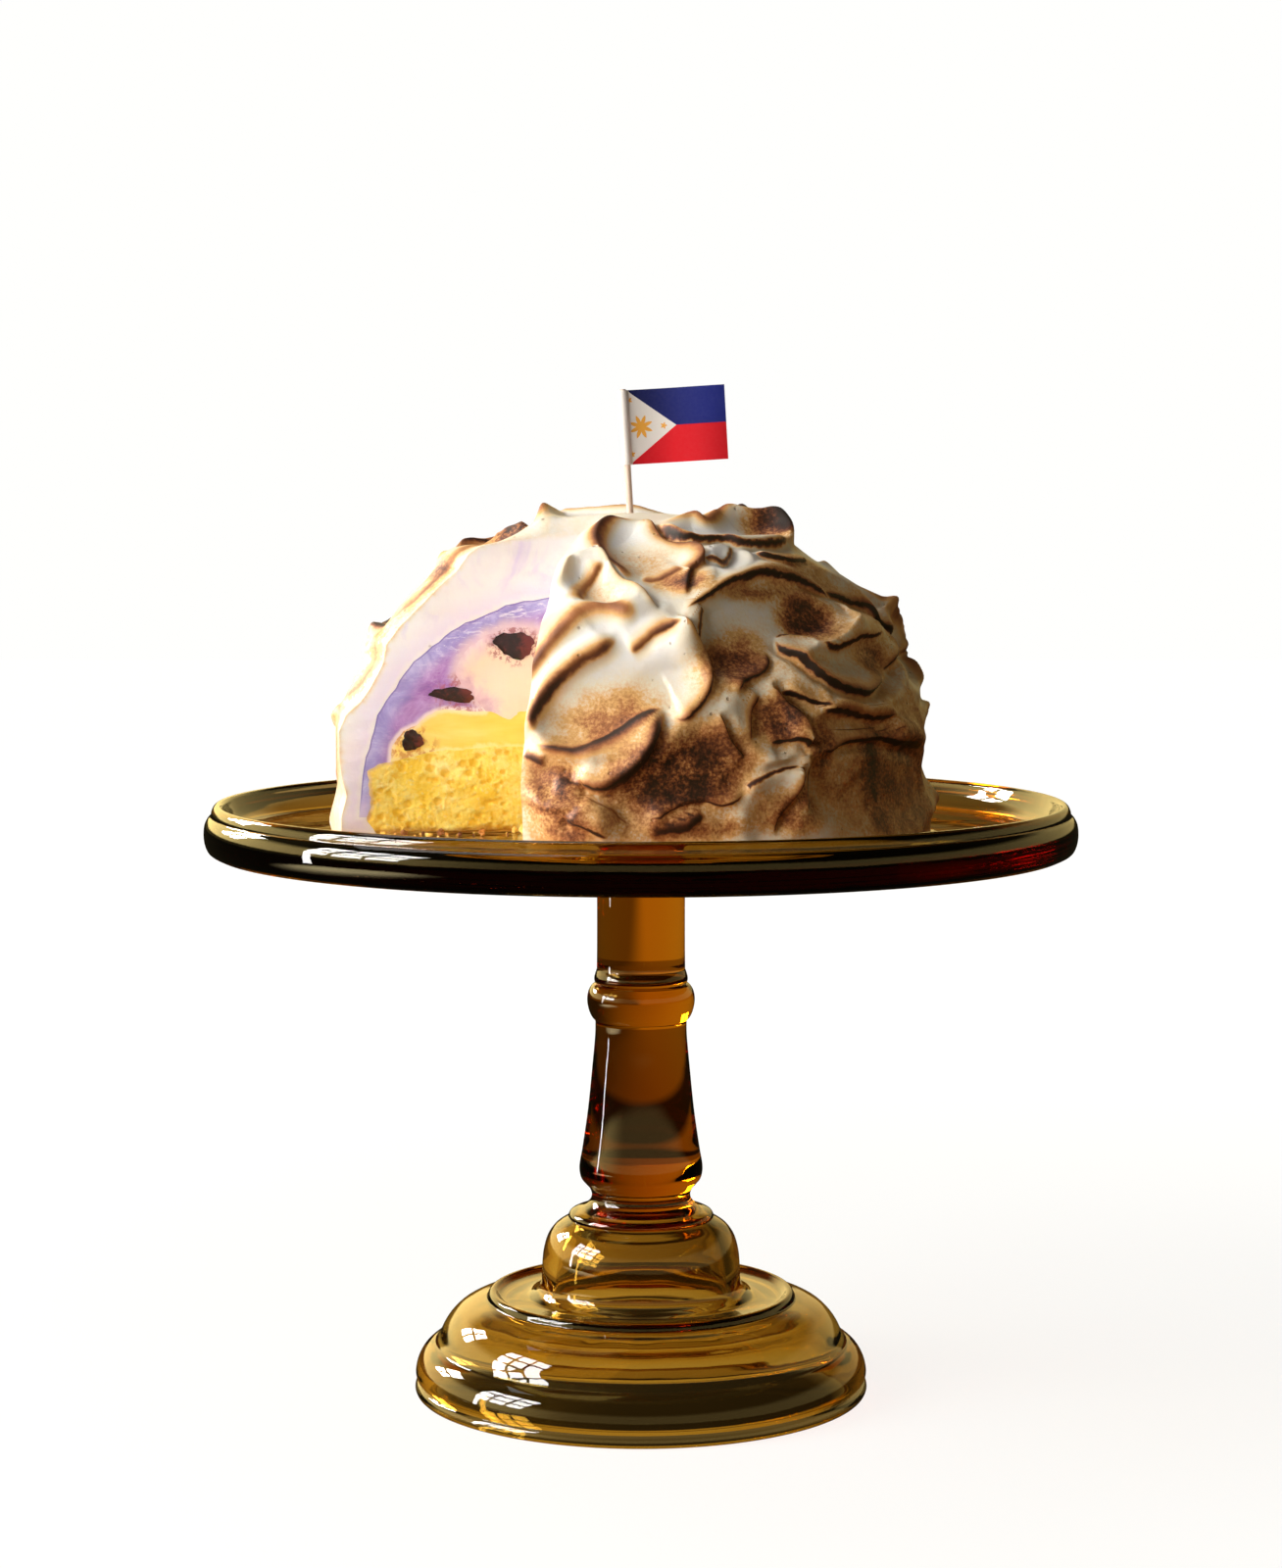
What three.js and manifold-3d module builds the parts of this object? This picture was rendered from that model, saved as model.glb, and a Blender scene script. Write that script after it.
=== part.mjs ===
// A baked alaska with one slice taken out, on its tall pressed-glass cake stand, with a paper
// flag on a wooden pick in the top. Millimetres, +Z up. The origin is the middle of the ring
// that the stand's foot rests on, at table height. The open slice faces -Y and -X.

import * as THREE from 'three';
import { mergeVertices } from 'three/addons/utils/BufferGeometryUtils.js';
import Module from 'manifold-3d';

const manifold = await Module();
manifold.setup();

// ---------------------------------------------------------------- driving dimensions

const GAP = 0.3; // clear space between two touching pieces

const PLATE_RADIUS = 152.5; // widest part of the plate's rim
const PLATE_TOP = 200; // height of the plate's flat floor
const RIM_TOP = 210; // height of the plate's rim
const PLATE_THICKNESS = 7.2;
const FOOT_RADIUS = 80.2; // widest part of the foot
const FOOT_DOME_TOP = 33; // top of the foot's wide lower dome
const STEM_SIDES = 28; // sides of the turned glass

const CAKE_X = -3.3; // the cake sits a little left of the stand's middle
const MERINGUE_RADIUS = 104;
const MERINGUE_HEIGHT = 110;
const DOME_POWER = 2.5; // 2 would be an ellipse: more is squarer
const UBE_RADIUS = 97.2;
const UBE_HEIGHT = 83.5;
const LAYER_SIDES = 20;

const SLICE_LEFT = -74; // the cut faces: degrees from the front, to the left
const SLICE_RIGHT = -19.5;

// The meringue's columns of facets: narrow on the front, wide behind, few where the slice is cut.
const COLUMNS = [
  { from: SLICE_RIGHT, to: 95, count: 55 },
  { from: 95, to: SLICE_LEFT + 360, count: 47 },
  { from: SLICE_LEFT + 360, to: SLICE_RIGHT + 360, count: 3 },
];
const ROWS = 34; // and its rows from the plate up to the top

const PICK_RADIUS = 1.2;
const PICK_LENGTH = 62;
const PICK_POINT = 6; // length of the pick's sharpened end
const PICK_FOOT = new THREE.Vector3(0.6, 8, 92); // its lower end, from the cake's middle
const PICK_LEAN = -3.4; // degrees
const FLAG_LENGTH = 34;
const FLAG_HEIGHT = 26;
const PAPER = 0.35; // glued double paper

const DEGREE = Math.PI / 180;

// ---------------------------------------------------------------- colours

const MATERIALS = {
  glass: { color: 0x8a6510, roughness: 0.05, metalness: 0 },
  meringue: { color: 0xf1e6d8, roughness: 0.6, metalness: 0 },
  ube: { color: 0xa98fd0, roughness: 0.5, metalness: 0 },
  coconut: { color: 0xead2c4, roughness: 0.5, metalness: 0 },
  mango: { color: 0xf7c63c, roughness: 0.4, metalness: 0 },
  sponge: { color: 0xf8d548, roughness: 0.9, metalness: 0 },
  cherry: { color: 0x3a0d0f, roughness: 0.3, metalness: 0 },
  wood: { color: 0xe6cdb2, roughness: 0.7, metalness: 0 },
  paper: { color: 0xf3efe8, roughness: 0.8, metalness: 0 },
};

// ---------------------------------------------------------------- small helpers

const point = (x, y) => new THREE.Vector2(x, y);

const clamp = THREE.MathUtils.clamp;

const mix = THREE.MathUtils.lerp;

const smooth = (from, to, x) => THREE.MathUtils.smoothstep(x, from, to);

function weld(geometry) {
  const bare = geometry.clone();
  bare.deleteAttribute('normal');
  bare.deleteAttribute('uv');
  return mergeVertices(bare, 1e-4);
}

function toSolid(geometry) {
  const welded = weld(geometry);
  return new manifold.Manifold(new manifold.Mesh({
    numProp: 3,
    vertProperties: new Float32Array(welded.attributes.position.array),
    triVerts: new Uint32Array(welded.index.array),
  }));
}

function toGeometry(solid) {
  const { vertProperties, triVerts, numProp } = solid.getMesh();
  const positions = [];
  for (let i = 0; i < vertProperties.length; i += numProp) {
    positions.push(vertProperties[i], vertProperties[i + 1], vertProperties[i + 2]);
  }
  const geometry = new THREE.BufferGeometry();
  geometry.setAttribute('position', new THREE.Float32BufferAttribute(positions, 3));
  geometry.setIndex([...triVerts]);
  return geometry;
}

function makeMesh(name, geometry, material) {
  geometry.computeVertexNormals();
  const mesh = new THREE.Mesh(geometry, new THREE.MeshStandardMaterial(MATERIALS[material]));
  mesh.name = name;
  return mesh;
}

// A profile of [radius, height] corners turned about +Z. It runs from the top of the piece
// outward, down and back to the axis.
function turned(profile, sides) {
  const upward = profile.map(([r, z]) => point(r, z)).reverse();
  const lathe = new THREE.LatheGeometry(upward, sides);
  lathe.rotateX(Math.PI / 2);
  return lathe;
}

// The quarter superellipse from the top of a dome (on its axis) down to its base.
function domeProfile(radius, height, steps) {
  const corners = [];
  for (let i = 0; i <= steps; i += 1) {
    const angle = (Math.PI / 2) * (1 - i / steps);
    const r = radius * Math.max(Math.cos(angle), 0) ** (2 / DOME_POWER);
    const z = height * Math.max(Math.sin(angle), 0) ** (2 / DOME_POWER);
    corners.push([i === 0 ? 0 : r, i === steps ? 0 : z]);
  }
  return corners;
}

// ---------------------------------------------------------------- the glass stand

function standGeometry() {
  const underside = PLATE_TOP - PLATE_THICKNESS;
  const plate = [
    [0, PLATE_TOP],
    [138, PLATE_TOP],
    [143.6, RIM_TOP - 6.6],
    [146, RIM_TOP - 0.8],
    [148, RIM_TOP],
    [149.8, RIM_TOP - 2.4],
    [150, RIM_TOP - 3.8], // the fine groove under the rim's lip
    [151.7, RIM_TOP - 5.4],
    [PLATE_RADIUS, RIM_TOP - 10],
    [151.8, underside + 3],
    [148.5, underside],
    [26, underside - 0.8],
    [18, 189],
  ];
  const stem = [
    [15.6, 182],
    [15.5, 150.6],
    [16.5, 147.6], // thin collar
    [16.2, 145.7],
    [18.5, 143],
    [19, 139.6], // bead
    [18, 135],
    [16.1, 131.4],
    [17.2, 116],
    [19.8, 93],
    [21.8, 80], // the stem's swell
    [21.2, 76.2],
    [17.4, 71],
    [18.8, 66.8],
  ];
  const foot = [
    [24, 64.4], // neck ring
    [26, 61.8],
    [30.8, 58.5],
    [34.5, 50.4],
    [35.2, 41],
    [37.4, 35.4],
    [44, 34],
    [51.6, 35.9], // ring bead on the ledge
    [54.6, 33.8],
    [59.5, FOOT_DOME_TOP - 1],
    [66, 28.5],
    [71, 21],
    [73.2, 17.5],
    [77.6, 14.2],
    [79.9, 8.5],
    [79, 4.4],
    [FOOT_RADIUS, 2.2],
    [77, 0],
    [73.4, 0],
  ];
  const hollow = [
    [71, 13],
    [64, 22.5],
    [50, 28.2],
    [33.5, 31.5],
    [29.8, 42],
    [26, 55],
    [16, 60.8],
    [0, 61.4],
  ];
  return turned([...plate, ...stem, ...foot, ...hollow], STEM_SIDES);
}

// ---------------------------------------------------------------- the meringue's swirls

// Each scoop is one swipe of the spatula: an oval bowl with a lip that stands up round it,
// except on the side where the blade came in (open). at: degrees from the front and height
// above the plate. Lengths in mm, turn and open in degrees. tip and tail near 1 are pointed
// ends, closed is how little of the lip is open, soft is how round it is. Later scoops lie
// over earlier ones.
const FRONT_SCOOPS = [
  { at: [-128, 101], long: 34, wide: 26, turn: 0, depth: -3, lip: 2, open: 90, soft: 1.4 },
  { at: [-98, 103], long: 60, wide: 40, turn: 8, depth: 8, lip: 3, open: 0, soft: 1.4 },
  { at: [-90, 82], long: 58, wide: 44, turn: 55, depth: 7, lip: 2.5, open: 0, soft: 1.4 },
  { at: [-92, 56], long: 50, wide: 36, turn: 60, depth: 6, lip: 3, open: 20, soft: 1.4 },
  { at: [-90, 22], long: 56, wide: 38, turn: 10, depth: 2, lip: 3.5, open: 0, soft: 1.4 },
  { at: [56, 18], long: 92, wide: 42, turn: -4, depth: 6, lip: 5, open: -90 },
  { at: [8.6, 22], long: 66, wide: 46, turn: 14, depth: 5, lip: 3, open: 140 },
  { at: [-13, 15], long: 36, wide: 24, turn: -39, depth: -2.5, lip: 1, open: 200, level: 2 },
  { at: [14, 8], long: 50, wide: 18, turn: 6, depth: 4, lip: 4, open: -90 },
  { at: [27, 17], long: 40, wide: 22, turn: 62, depth: 4, lip: 4, open: -120, tip: 1.1 },
  { at: [48, 37], long: 50, wide: 19, turn: 0, depth: 4, lip: 3.5, open: -90 },
  { at: [26, 44], long: 30, wide: 26, turn: -52, depth: 5, lip: 4, open: 140, tip: 0.9 },
  { at: [86, 62], long: 40, wide: 28, turn: 20, depth: 4, lip: 4, open: 180 },
  { at: [88, 24], long: 50, wide: 34, turn: 10, depth: 4, lip: 4, open: 180 },
  { at: [55, 84], long: 60, wide: 26, turn: -8, depth: 5, lip: 4, open: 180 },
  { at: [33, 72], long: 76, wide: 44, turn: 19, depth: 9, lip: 5.5, open: -95 },
  { at: [53, 62], long: 68, wide: 30, turn: -3, depth: 7, lip: 6.5, open: 80, tail: 1.1, level: 2 },
  { at: [72, 103], long: 34, wide: 26, turn: 0, depth: -4, lip: 1, open: 0, level: 1 },
  { at: [40, 104], long: 58, wide: 26, turn: 0, depth: 5, lip: 5.5, open: 180, level: 2 },
  { at: [30, 96], long: 20, wide: 14, turn: 61, depth: 3, lip: 2.5, open: 90 },
  { at: [-8, 86], long: 30, wide: 22, turn: -56, depth: 6, lip: 4, open: -40 },
  { at: [4, 96], long: 50, wide: 40, turn: -70, depth: 7, lip: 6, open: -50, level: 1 },
  { at: [-5.2, 33], long: 56, wide: 26, turn: 19, depth: 3, lip: 7, open: 100, tip: 1.1, level: 2 },
  { at: [-7, 60], long: 62, wide: 46, turn: 18, depth: 4, lip: 5.5, open: -60 },
  { at: [-1.5, 54], long: 60, wide: 37, turn: 20, depth: 10, lip: 6.5, open: 50, closed: 5 },
];

// Scoops behind the open slice and on the side that faces away, in rows up the dome.
const BACK_ROWS = [
  { height: 18, count: 5, long: 66, wide: 38 },
  { height: 50, count: 5, long: 64, wide: 40 },
  { height: 80, count: 4, long: 58, wide: 38 },
  { height: 102, count: 3, long: 50, wide: 34 },
];
const BACK_FROM = 108; // degrees
const BACK_TO = 244;
const BACK_DEPTH = 6;
const BACK_LIP = 5;

// Creases that the spatula lifted between the scoops, each along a bent path.
const CREASES = [
  { path: [[-0.7, 66.5], [5.4, 71.3], [12.4, 74]], lift: 4, width: 4 },
  { path: [[14.5, 67], [15, 76], [19, 83]], lift: 4, width: 3.5 },
  { path: [[35.5, 71], [30, 56], [18, 50.6]], lift: 5, width: 5 },
  { path: [[38.4, 72], [43.8, 63], [69.4, 68]], lift: 4, width: 4 },
  { path: [[27.8, 54.7], [35.6, 51], [36.9, 36.2]], lift: 5, width: 4 },
  { path: [[36.7, 44], [47.4, 46], [62, 42]], lift: 3, width: 3.5 },
  { path: [[0, 6], [11.6, 9], [21.2, 18]], lift: 4, width: 4 },
  { path: [[-9, 21], [-1.5, 17], [4, 4]], lift: 4.5, width: 4.5 },
  { path: [[-20, 31], [-16.4, 33], [-12, 28.4]], lift: 3.5, width: 4 },
  { path: [[3.9, 85.3], [6, 81.5], [10.1, 77.5]], lift: 4, width: 5 },
  { path: [[-15, 96], [-17, 89], [-17, 82]], lift: 4, width: 4 },
  { path: [[41.9, 97], [50, 90], [77, 94]], lift: 3, width: 4 },
  { path: [[54.4, 27], [48, 14], [56, 3]], lift: 3, width: 6 },
];

const LIP_INSIDE = 6; // how far a lip's rounding reaches into its scoop
const LIP_OUTSIDE = 4.5;
const LEAST_COVER = 2; // meringue left over the ice cream in the deepest scoop
const OUTLINE_STEPS = 14;

// The meringue's outline at the left cut, and the degrees over which the rest runs into it.
const KNIFE_OUTLINE = [
  [0, 105], [15.7, 103.4], [29.8, 102.6], [43.8, 101.1], [54.5, 99], [58.4, 96.4], [62.2, 91],
  [68.5, 85.4], [75.6, 78.2], [82.6, 71.4], [87.3, 65.6], [88.6, 59], [93, 50.6], [96.6, 45.6],
  [101.4, 41.6], [104, 36], [104, 27], [103.2, 20], [101.5, 13.8], [103.4, 6.6], [103.4, -2],
].map(([r, z]) => point(r, z));
const KNIFE_REACH = 13;

// A repeatable draw between 0 and 1.
function draw(index, salt) {
  const wave = Math.sin(index * 12.9898 + salt * 78.233) * 43758.5453;
  return wave - Math.floor(wave);
}

function backScoops() {
  const scoops = [];
  for (const row of BACK_ROWS) {
    const pitch = (BACK_TO - BACK_FROM) / (row.count - 1);
    for (let i = 0; i < row.count; i += 1) {
      const seed = scoops.length + 1;
      scoops.push({
        at: [
          BACK_FROM + pitch * i + 10 * (draw(seed, 1) - 0.5),
          row.height + 8 * (draw(seed, 2) - 0.5),
        ],
        long: row.long * mix(0.85, 1.15, draw(seed, 3)),
        wide: row.wide * mix(0.8, 1.1, draw(seed, 4)),
        turn: mix(-45, 45, draw(seed, 5)),
        depth: BACK_DEPTH * mix(0.6, 1.2, draw(seed, 6)),
        lip: BACK_LIP * mix(0.7, 1.2, draw(seed, 7)),
        open: 360 * draw(seed, 8),
        soft: 1.4,
      });
    }
  }
  return scoops;
}

// A place on the plain dome: its position, outward direction, height and azimuth.
function domePoint(azimuth, rise) {
  const c = Math.max(Math.cos(rise), 0) ** (2 / DOME_POWER);
  const s = Math.max(Math.sin(rise), 0) ** (2 / DOME_POWER);
  const r = MERINGUE_RADIUS * c;
  const z = MERINGUE_HEIGHT * s;
  const out = new THREE.Vector3(Math.sin(azimuth), -Math.cos(azimuth), 0);
  const slopeOut = c ** (DOME_POWER - 1) / MERINGUE_RADIUS;
  const slopeUp = s ** (DOME_POWER - 1) / MERINGUE_HEIGHT;
  return {
    position: out.clone().multiplyScalar(r).setZ(z),
    normal: out.multiplyScalar(slopeOut).setZ(slopeUp).normalize(),
    height: z,
    azimuth,
  };
}

const riseAt = (height) => Math.asin((height / MERINGUE_HEIGHT) ** (DOME_POWER / 2));

// A flat frame that touches the dome: along and across are the scoop's own directions.
function touchingFrame([degrees, height], turn = 0) {
  const azimuth = degrees * DEGREE;
  const { position, normal } = domePoint(azimuth, riseAt(height));
  const sideways = new THREE.Vector3(Math.cos(azimuth), Math.sin(azimuth), 0);
  const upward = new THREE.Vector3().crossVectors(normal, sideways);
  const c = Math.cos(turn * DEGREE);
  const s = Math.sin(turn * DEGREE);
  return {
    position,
    normal,
    along: sideways.clone().multiplyScalar(c).addScaledVector(upward, s),
    across: sideways.clone().multiplyScalar(-s).addScaledVector(upward, c),
  };
}

// The scoop's outline: round ends, or pointed ones where tip or tail is near 1.
function scoopOutline({ long, wide, tip = 0.5, tail = 0.5 }) {
  const lower = [];
  const upper = [];
  for (let i = 0; i <= OUTLINE_STEPS; i += 1) {
    const u = -Math.cos((Math.PI * i) / OUTLINE_STEPS);
    const half = (wide / 2) * Math.max(1 - u * u, 0) ** (u > 0 ? tip : tail);
    lower.push(point((u * long) / 2, -half));
    if (i > 0 && i < OUTLINE_STEPS) upper.unshift(point((u * long) / 2, half));
  }
  return [...lower, ...upper];
}

// Distance from q to a closed outline, negative inside it.
function outlineDistance(outline, q) {
  let nearest = Infinity;
  let inside = false;
  outline.forEach((a, i) => {
    const b = outline[(i + 1) % outline.length];
    const edge = b.clone().sub(a);
    const way = clamp(q.clone().sub(a).dot(edge) / (edge.lengthSq() + 1e-9), 0, 1);
    nearest = Math.min(nearest, q.distanceTo(a.clone().addScaledVector(edge, way)));
    const crosses = (a.y > q.y) !== (b.y > q.y);
    if (crosses && q.x < a.x + ((q.y - a.y) * edge.x) / edge.y) inside = !inside;
  });
  return inside ? -nearest : nearest;
}

function wobble(x, y, seed) {
  const long = Math.sin(0.11 * x + 1.7 * seed);
  const cross = Math.sin(0.17 * y + 0.9 * seed + 0.05 * x);
  return (long + cross + 0.6 * Math.sin(0.27 * x - 0.21 * y + seed)) / 2.6;
}

// Presses one scoop into the swell (mm above the plain dome) at a place on the dome.
function pressScoop(swell, place, scoop, index) {
  const offset = place.position.clone().sub(scoop.frame.position);
  const reach = scoop.long * 0.62 + 12;
  if (offset.length() > reach || place.normal.dot(scoop.frame.normal) < 0.1) return swell;

  const x = offset.dot(scoop.frame.along);
  const y = offset.dot(scoop.frame.across);
  const q = point(x + 1.1 * wobble(x, y, index + 1), y + 1.1 * wobble(y, x, index + 5));
  const edge = outlineDistance(scoop.outline, q);

  const bearing = Math.atan2(q.y / scoop.wide, q.x / scoop.long);
  const openness = ((1 + Math.cos(bearing - scoop.open * DEGREE)) / 2) ** (scoop.closed ?? 1.5);
  const rim = (1 - openness) * (0.8 + 0.2 * Math.sin(3 * bearing + index));
  const rounding = (edge < 0 ? LIP_INSIDE : LIP_OUTSIDE) * (scoop.soft ?? 1);
  const lip = scoop.lip * rim * Math.exp(-((edge / rounding) ** 2));

  const middle = clamp(-edge / (scoop.wide / 2), 0, 1);
  const bowl = (scoop.level ?? 0) - scoop.depth * (1 - (1 - middle) ** 2);
  const blend = mix(LIP_INSIDE / 2, scoop.wide * 0.45, openness);
  return mix(swell, bowl, smooth(0, blend, -edge)) + lip;
}

// Height that one crease adds at a place: steeper on its right side.
function creaseLift(place, crease) {
  let nearest = Infinity;
  let result = 0;
  for (let i = 1; i < crease.points.length; i += 1) {
    const from = crease.points[i - 1];
    const step = crease.points[i].clone().sub(from);
    const way = clamp(place.position.clone().sub(from).dot(step) / step.lengthSq(), 0, 1);
    const away = place.position.clone().sub(from).addScaledVector(step, -way);
    if (away.length() < nearest) {
      nearest = away.length();
      const right = new THREE.Vector3().crossVectors(step, place.normal).dot(away) > 0;
      const width = crease.width * (right ? 0.6 : 1);
      const along = (i - 1 + way) / (crease.points.length - 1);
      const fade = Math.sqrt(Math.max(Math.sin(Math.PI * along), 0));
      result = crease.lift * fade * Math.exp(-((nearest / width) ** 2));
    }
  }
  return result;
}

function creasePoints({ path }) {
  const [from, bow, to] = path.map((place) => touchingFrame(place).position);
  return new THREE.QuadraticBezierCurve3(from, bow, to).getPoints(10);
}

// How far the plain dome has to swell to meet the left cut's outline at a place.
function swellToOutline({ position, normal }) {
  const from = point(Math.hypot(position.x, position.y), position.z);
  const way = point(Math.hypot(normal.x, normal.y), normal.z);
  let swell = Infinity;
  for (let i = 1; i < KNIFE_OUTLINE.length; i += 1) {
    const a = KNIFE_OUTLINE[i - 1].clone().sub(from);
    const b = KNIFE_OUTLINE[i].clone().sub(from);
    const u = way.cross(a);
    const v = way.cross(b);
    const hit = u * v <= 0 && u !== v ? a.lerp(b, u / (u - v)).dot(way) : Infinity;
    if (Math.abs(hit) < Math.abs(swell)) swell = hit;
  }
  return swell;
}

const SCOOPS = [...backScoops(), ...FRONT_SCOOPS].map((scoop) => ({
  ...scoop,
  frame: touchingFrame(scoop.at, scoop.turn),
  outline: scoopOutline(scoop),
}));
const LIFTED_CREASES = CREASES.map((crease) => ({ ...crease, points: creasePoints(crease) }));

// How far the meringue stands out from, or dips under, its plain dome.
function swellAt(place) {
  const { x, y, z } = place.position;
  let swell = 0.9 * Math.sin(0.06 * x + 1) * Math.sin(0.05 * y + 2);
  swell += 0.7 * Math.sin(0.09 * z + 0.03 * x);
  SCOOPS.forEach((scoop, index) => {
    swell = pressScoop(swell, place, scoop, index);
  });
  for (const crease of LIFTED_CREASES) swell += creaseLift(place, crease);

  const side = MERINGUE_RADIUS - UBE_RADIUS;
  const top = MERINGUE_HEIGHT - UBE_HEIGHT;
  const cover = mix(side, top, (place.height / MERINGUE_HEIGHT) ** 2) - LEAST_COVER;
  if (swell < 0) swell = -cover * (1 - Math.exp(swell / cover));
  const toKnife = SLICE_LEFT + 360 - place.azimuth / DEGREE;
  const near = 1 - smooth(0, KNIFE_REACH, toKnife);
  return near > 0 ? mix(swell, swellToOutline(place), near) : swell;
}

function meringueDome() {
  const azimuths = COLUMNS.flatMap(({ from, to, count }) => (
    Array.from({ length: count }, (_, i) => mix(from, to, i / count) * DEGREE)
  ));
  const around = azimuths.length;
  const positions = [];
  for (let j = 0; j < ROWS; j += 1) {
    for (const azimuth of azimuths) {
      const place = domePoint(azimuth, (Math.PI / 2) * (j / ROWS));
      const push = place.normal.clone().multiplyScalar(swellAt(place));
      push.z *= smooth(0, 8, place.height); // the foot stays on the plate
      positions.push(...place.position.add(push));
    }
  }
  const crown = domePoint(0, Math.PI / 2);
  positions.push(0, 0, crown.height + swellAt(crown));
  positions.push(0, 0, 0);

  const top = around * ROWS;
  const bottom = top + 1;
  const lastRow = around * (ROWS - 1);
  const faces = [];
  for (let i = 0; i < around; i += 1) {
    const next = (i + 1) % around;
    for (let low = 0; low < lastRow; low += around) {
      const high = low + around;
      faces.push(low + i, low + next, high + next, low + i, high + next, high + i);
    }
    faces.push(lastRow + i, lastRow + next, top, next, i, bottom);
  }
  const geometry = new THREE.BufferGeometry();
  geometry.setAttribute('position', new THREE.Float32BufferAttribute(positions, 3));
  geometry.setIndex(faces);
  return geometry;
}

// ---------------------------------------------------------------- the layers inside

// [radius, height above the plate], from the axis outward and back to it.
const SPONGE_FLOOR = GAP;
const SPONGE_PROFILE = [
  [0, 30], [50, 29.6], [62, 29.1], [74, 27.9], [86, 25.2], [94.2, 22.3],
  [94.4, 9], [91.4, 3], [90.4, SPONGE_FLOOR], [0, SPONGE_FLOOR],
];
const MANGO_PROFILE = [
  [0, 42.8], [39.8, 41.6], [44.2, 39.2], [50, 40.6], [57.3, 42], [67.8, 42.4],
  [72.2, 41.3], [76.6, 38], [81.8, 34.8], [86, 30.4], [86.2, 25.6],
  [74, 28.3], [62, 29.5], [50, 30], [0, 30.4],
];
const COCONUT_PROFILE = [
  [0, 70.5], [46.8, 70.5], [54, 67.6], [61.2, 60.6], [62.9, 55.4],
  [56.4, 47.4], [50, 42.4], [44.2, 39.8], [40, 42.1], [0, 43.2],
];
const UBE_FOOT = 6.5; // the purple layer stops this far above the plate
const UBE_INNER_PROFILE = [
  [94.8, UBE_FOOT], [94.7, 22.6], [86.6, 30.7], [82.2, 35.2], [76.9, 38.4], [72.5, 41.8],
  [67.9, 42.9], [57.3, 42.5], [53.5, 42.2], [53, 44], [56.8, 47.2], [63.3, 55.4],
  [61.6, 60.9], [54.3, 68], [47, 70.9], [0, 70.9],
];

function ubeProfile() {
  const skin = domeProfile(UBE_RADIUS - GAP, UBE_HEIGHT - GAP, 12);
  return [...skin.filter(([, z]) => z > UBE_FOOT), [UBE_RADIUS - GAP, UBE_FOOT], ...UBE_INNER_PROFILE];
}

// The room inside the meringue for everything else.
function cavityProfile() {
  const skin = domeProfile(UBE_RADIUS, UBE_HEIGHT, 12);
  const foot = [[UBE_RADIUS, UBE_FOOT - GAP], [94.9, UBE_FOOT - 1], [91.8, 2.6], [90.8, -1], [0, -1]];
  return [...skin.filter(([, z]) => z > UBE_FOOT), ...foot];
}

// The missing slice, as a solid far taller and wider than the cake.
function sliceSolid() {
  const far = 2 * MERINGUE_RADIUS;
  const corner = (degrees) => point(far * Math.sin(degrees * DEGREE), -far * Math.cos(degrees * DEGREE));
  const outline = new THREE.Shape([point(0, 0), corner(SLICE_LEFT), corner(SLICE_RIGHT)]);
  const slice = new THREE.ExtrudeGeometry(outline, { depth: far, bevelEnabled: false });
  slice.translate(0, 0, -far / 4);
  return toSolid(slice);
}

// Cherries that the knife halved: on which cut face, how far out and up, and their size.
const CHERRIES = [
  { face: SLICE_LEFT, out: 42, up: 65.2, long: 14, tall: 9, tilt: -10 },
  { face: SLICE_LEFT, out: 64, up: 48.2, long: 16, tall: 5, tilt: -6 },
  { face: SLICE_LEFT, out: 78.5, up: 32.6, long: 7.5, tall: 7, tilt: 20 },
  { face: SLICE_RIGHT, out: 36, up: 55, long: 13, tall: 9, tilt: 15 },
  { face: SLICE_RIGHT, out: 70, up: 35.6, long: 10, tall: 6, tilt: 0 },
];
const CHERRY_DEPTH = 9;

function cherrySolid({ face, out, up, long, tall, tilt }, room) {
  const ball = new THREE.SphereGeometry(0.5, 10, 6);
  ball.scale(long + 2 * room, CHERRY_DEPTH + 2 * room, tall + 2 * room);
  ball.rotateY(tilt * DEGREE);
  ball.rotateZ((face - 90) * DEGREE);
  ball.translate(out * Math.sin(face * DEGREE), -out * Math.cos(face * DEGREE), up);
  return toSolid(ball);
}

// ---------------------------------------------------------------- the flag

function pickGeometry(radius) {
  return turned([
    [0, PICK_LENGTH], [radius, PICK_LENGTH], [radius, PICK_POINT], [radius * 0.3, 0], [0, 0],
  ], 10);
}

// The paper seen from above: a sleeve round the pick and a waving tail.
function paperGeometry() {
  const inner = PICK_RADIUS + GAP;
  const outer = inner + PAPER;
  const half = PAPER / 2;
  const start = Math.asin(half / outer);
  const sleeveSteps = 12;
  const tailSteps = 12;
  const wave = (x) => 1.3 * Math.sin(((x - outer) / FLAG_LENGTH) * Math.PI * 1.6);
  const outline = [];
  for (let i = 0; i <= sleeveSteps; i += 1) {
    const angle = mix(start, 2 * Math.PI - start, i / sleeveSteps);
    outline.push(point(outer * Math.cos(angle), outer * Math.sin(angle)));
  }
  const tail = [];
  for (let i = 1; i <= tailSteps; i += 1) tail.push(outer + (FLAG_LENGTH * i) / tailSteps);
  tail.forEach((x) => outline.push(point(x, wave(x) - half)));
  tail.reverse().forEach((x) => outline.push(point(x, wave(x) + half)));
  const section = new THREE.Shape(outline);
  const bore = new THREE.Path();
  bore.absarc(0, 0, inner, 0, 2 * Math.PI, true);
  section.holes.push(bore);
  return new THREE.ExtrudeGeometry(section, {
    depth: FLAG_HEIGHT,
    steps: 1,
    curveSegments: 6,
    bevelEnabled: false,
  });
}

// ---------------------------------------------------------------- putting it together

const stand = makeMesh('cake_stand', standGeometry(), 'glass');

const flag = new THREE.Group();
flag.position.copy(PICK_FOOT);
flag.rotation.y = PICK_LEAN * DEGREE;
flag.updateMatrix();

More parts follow.
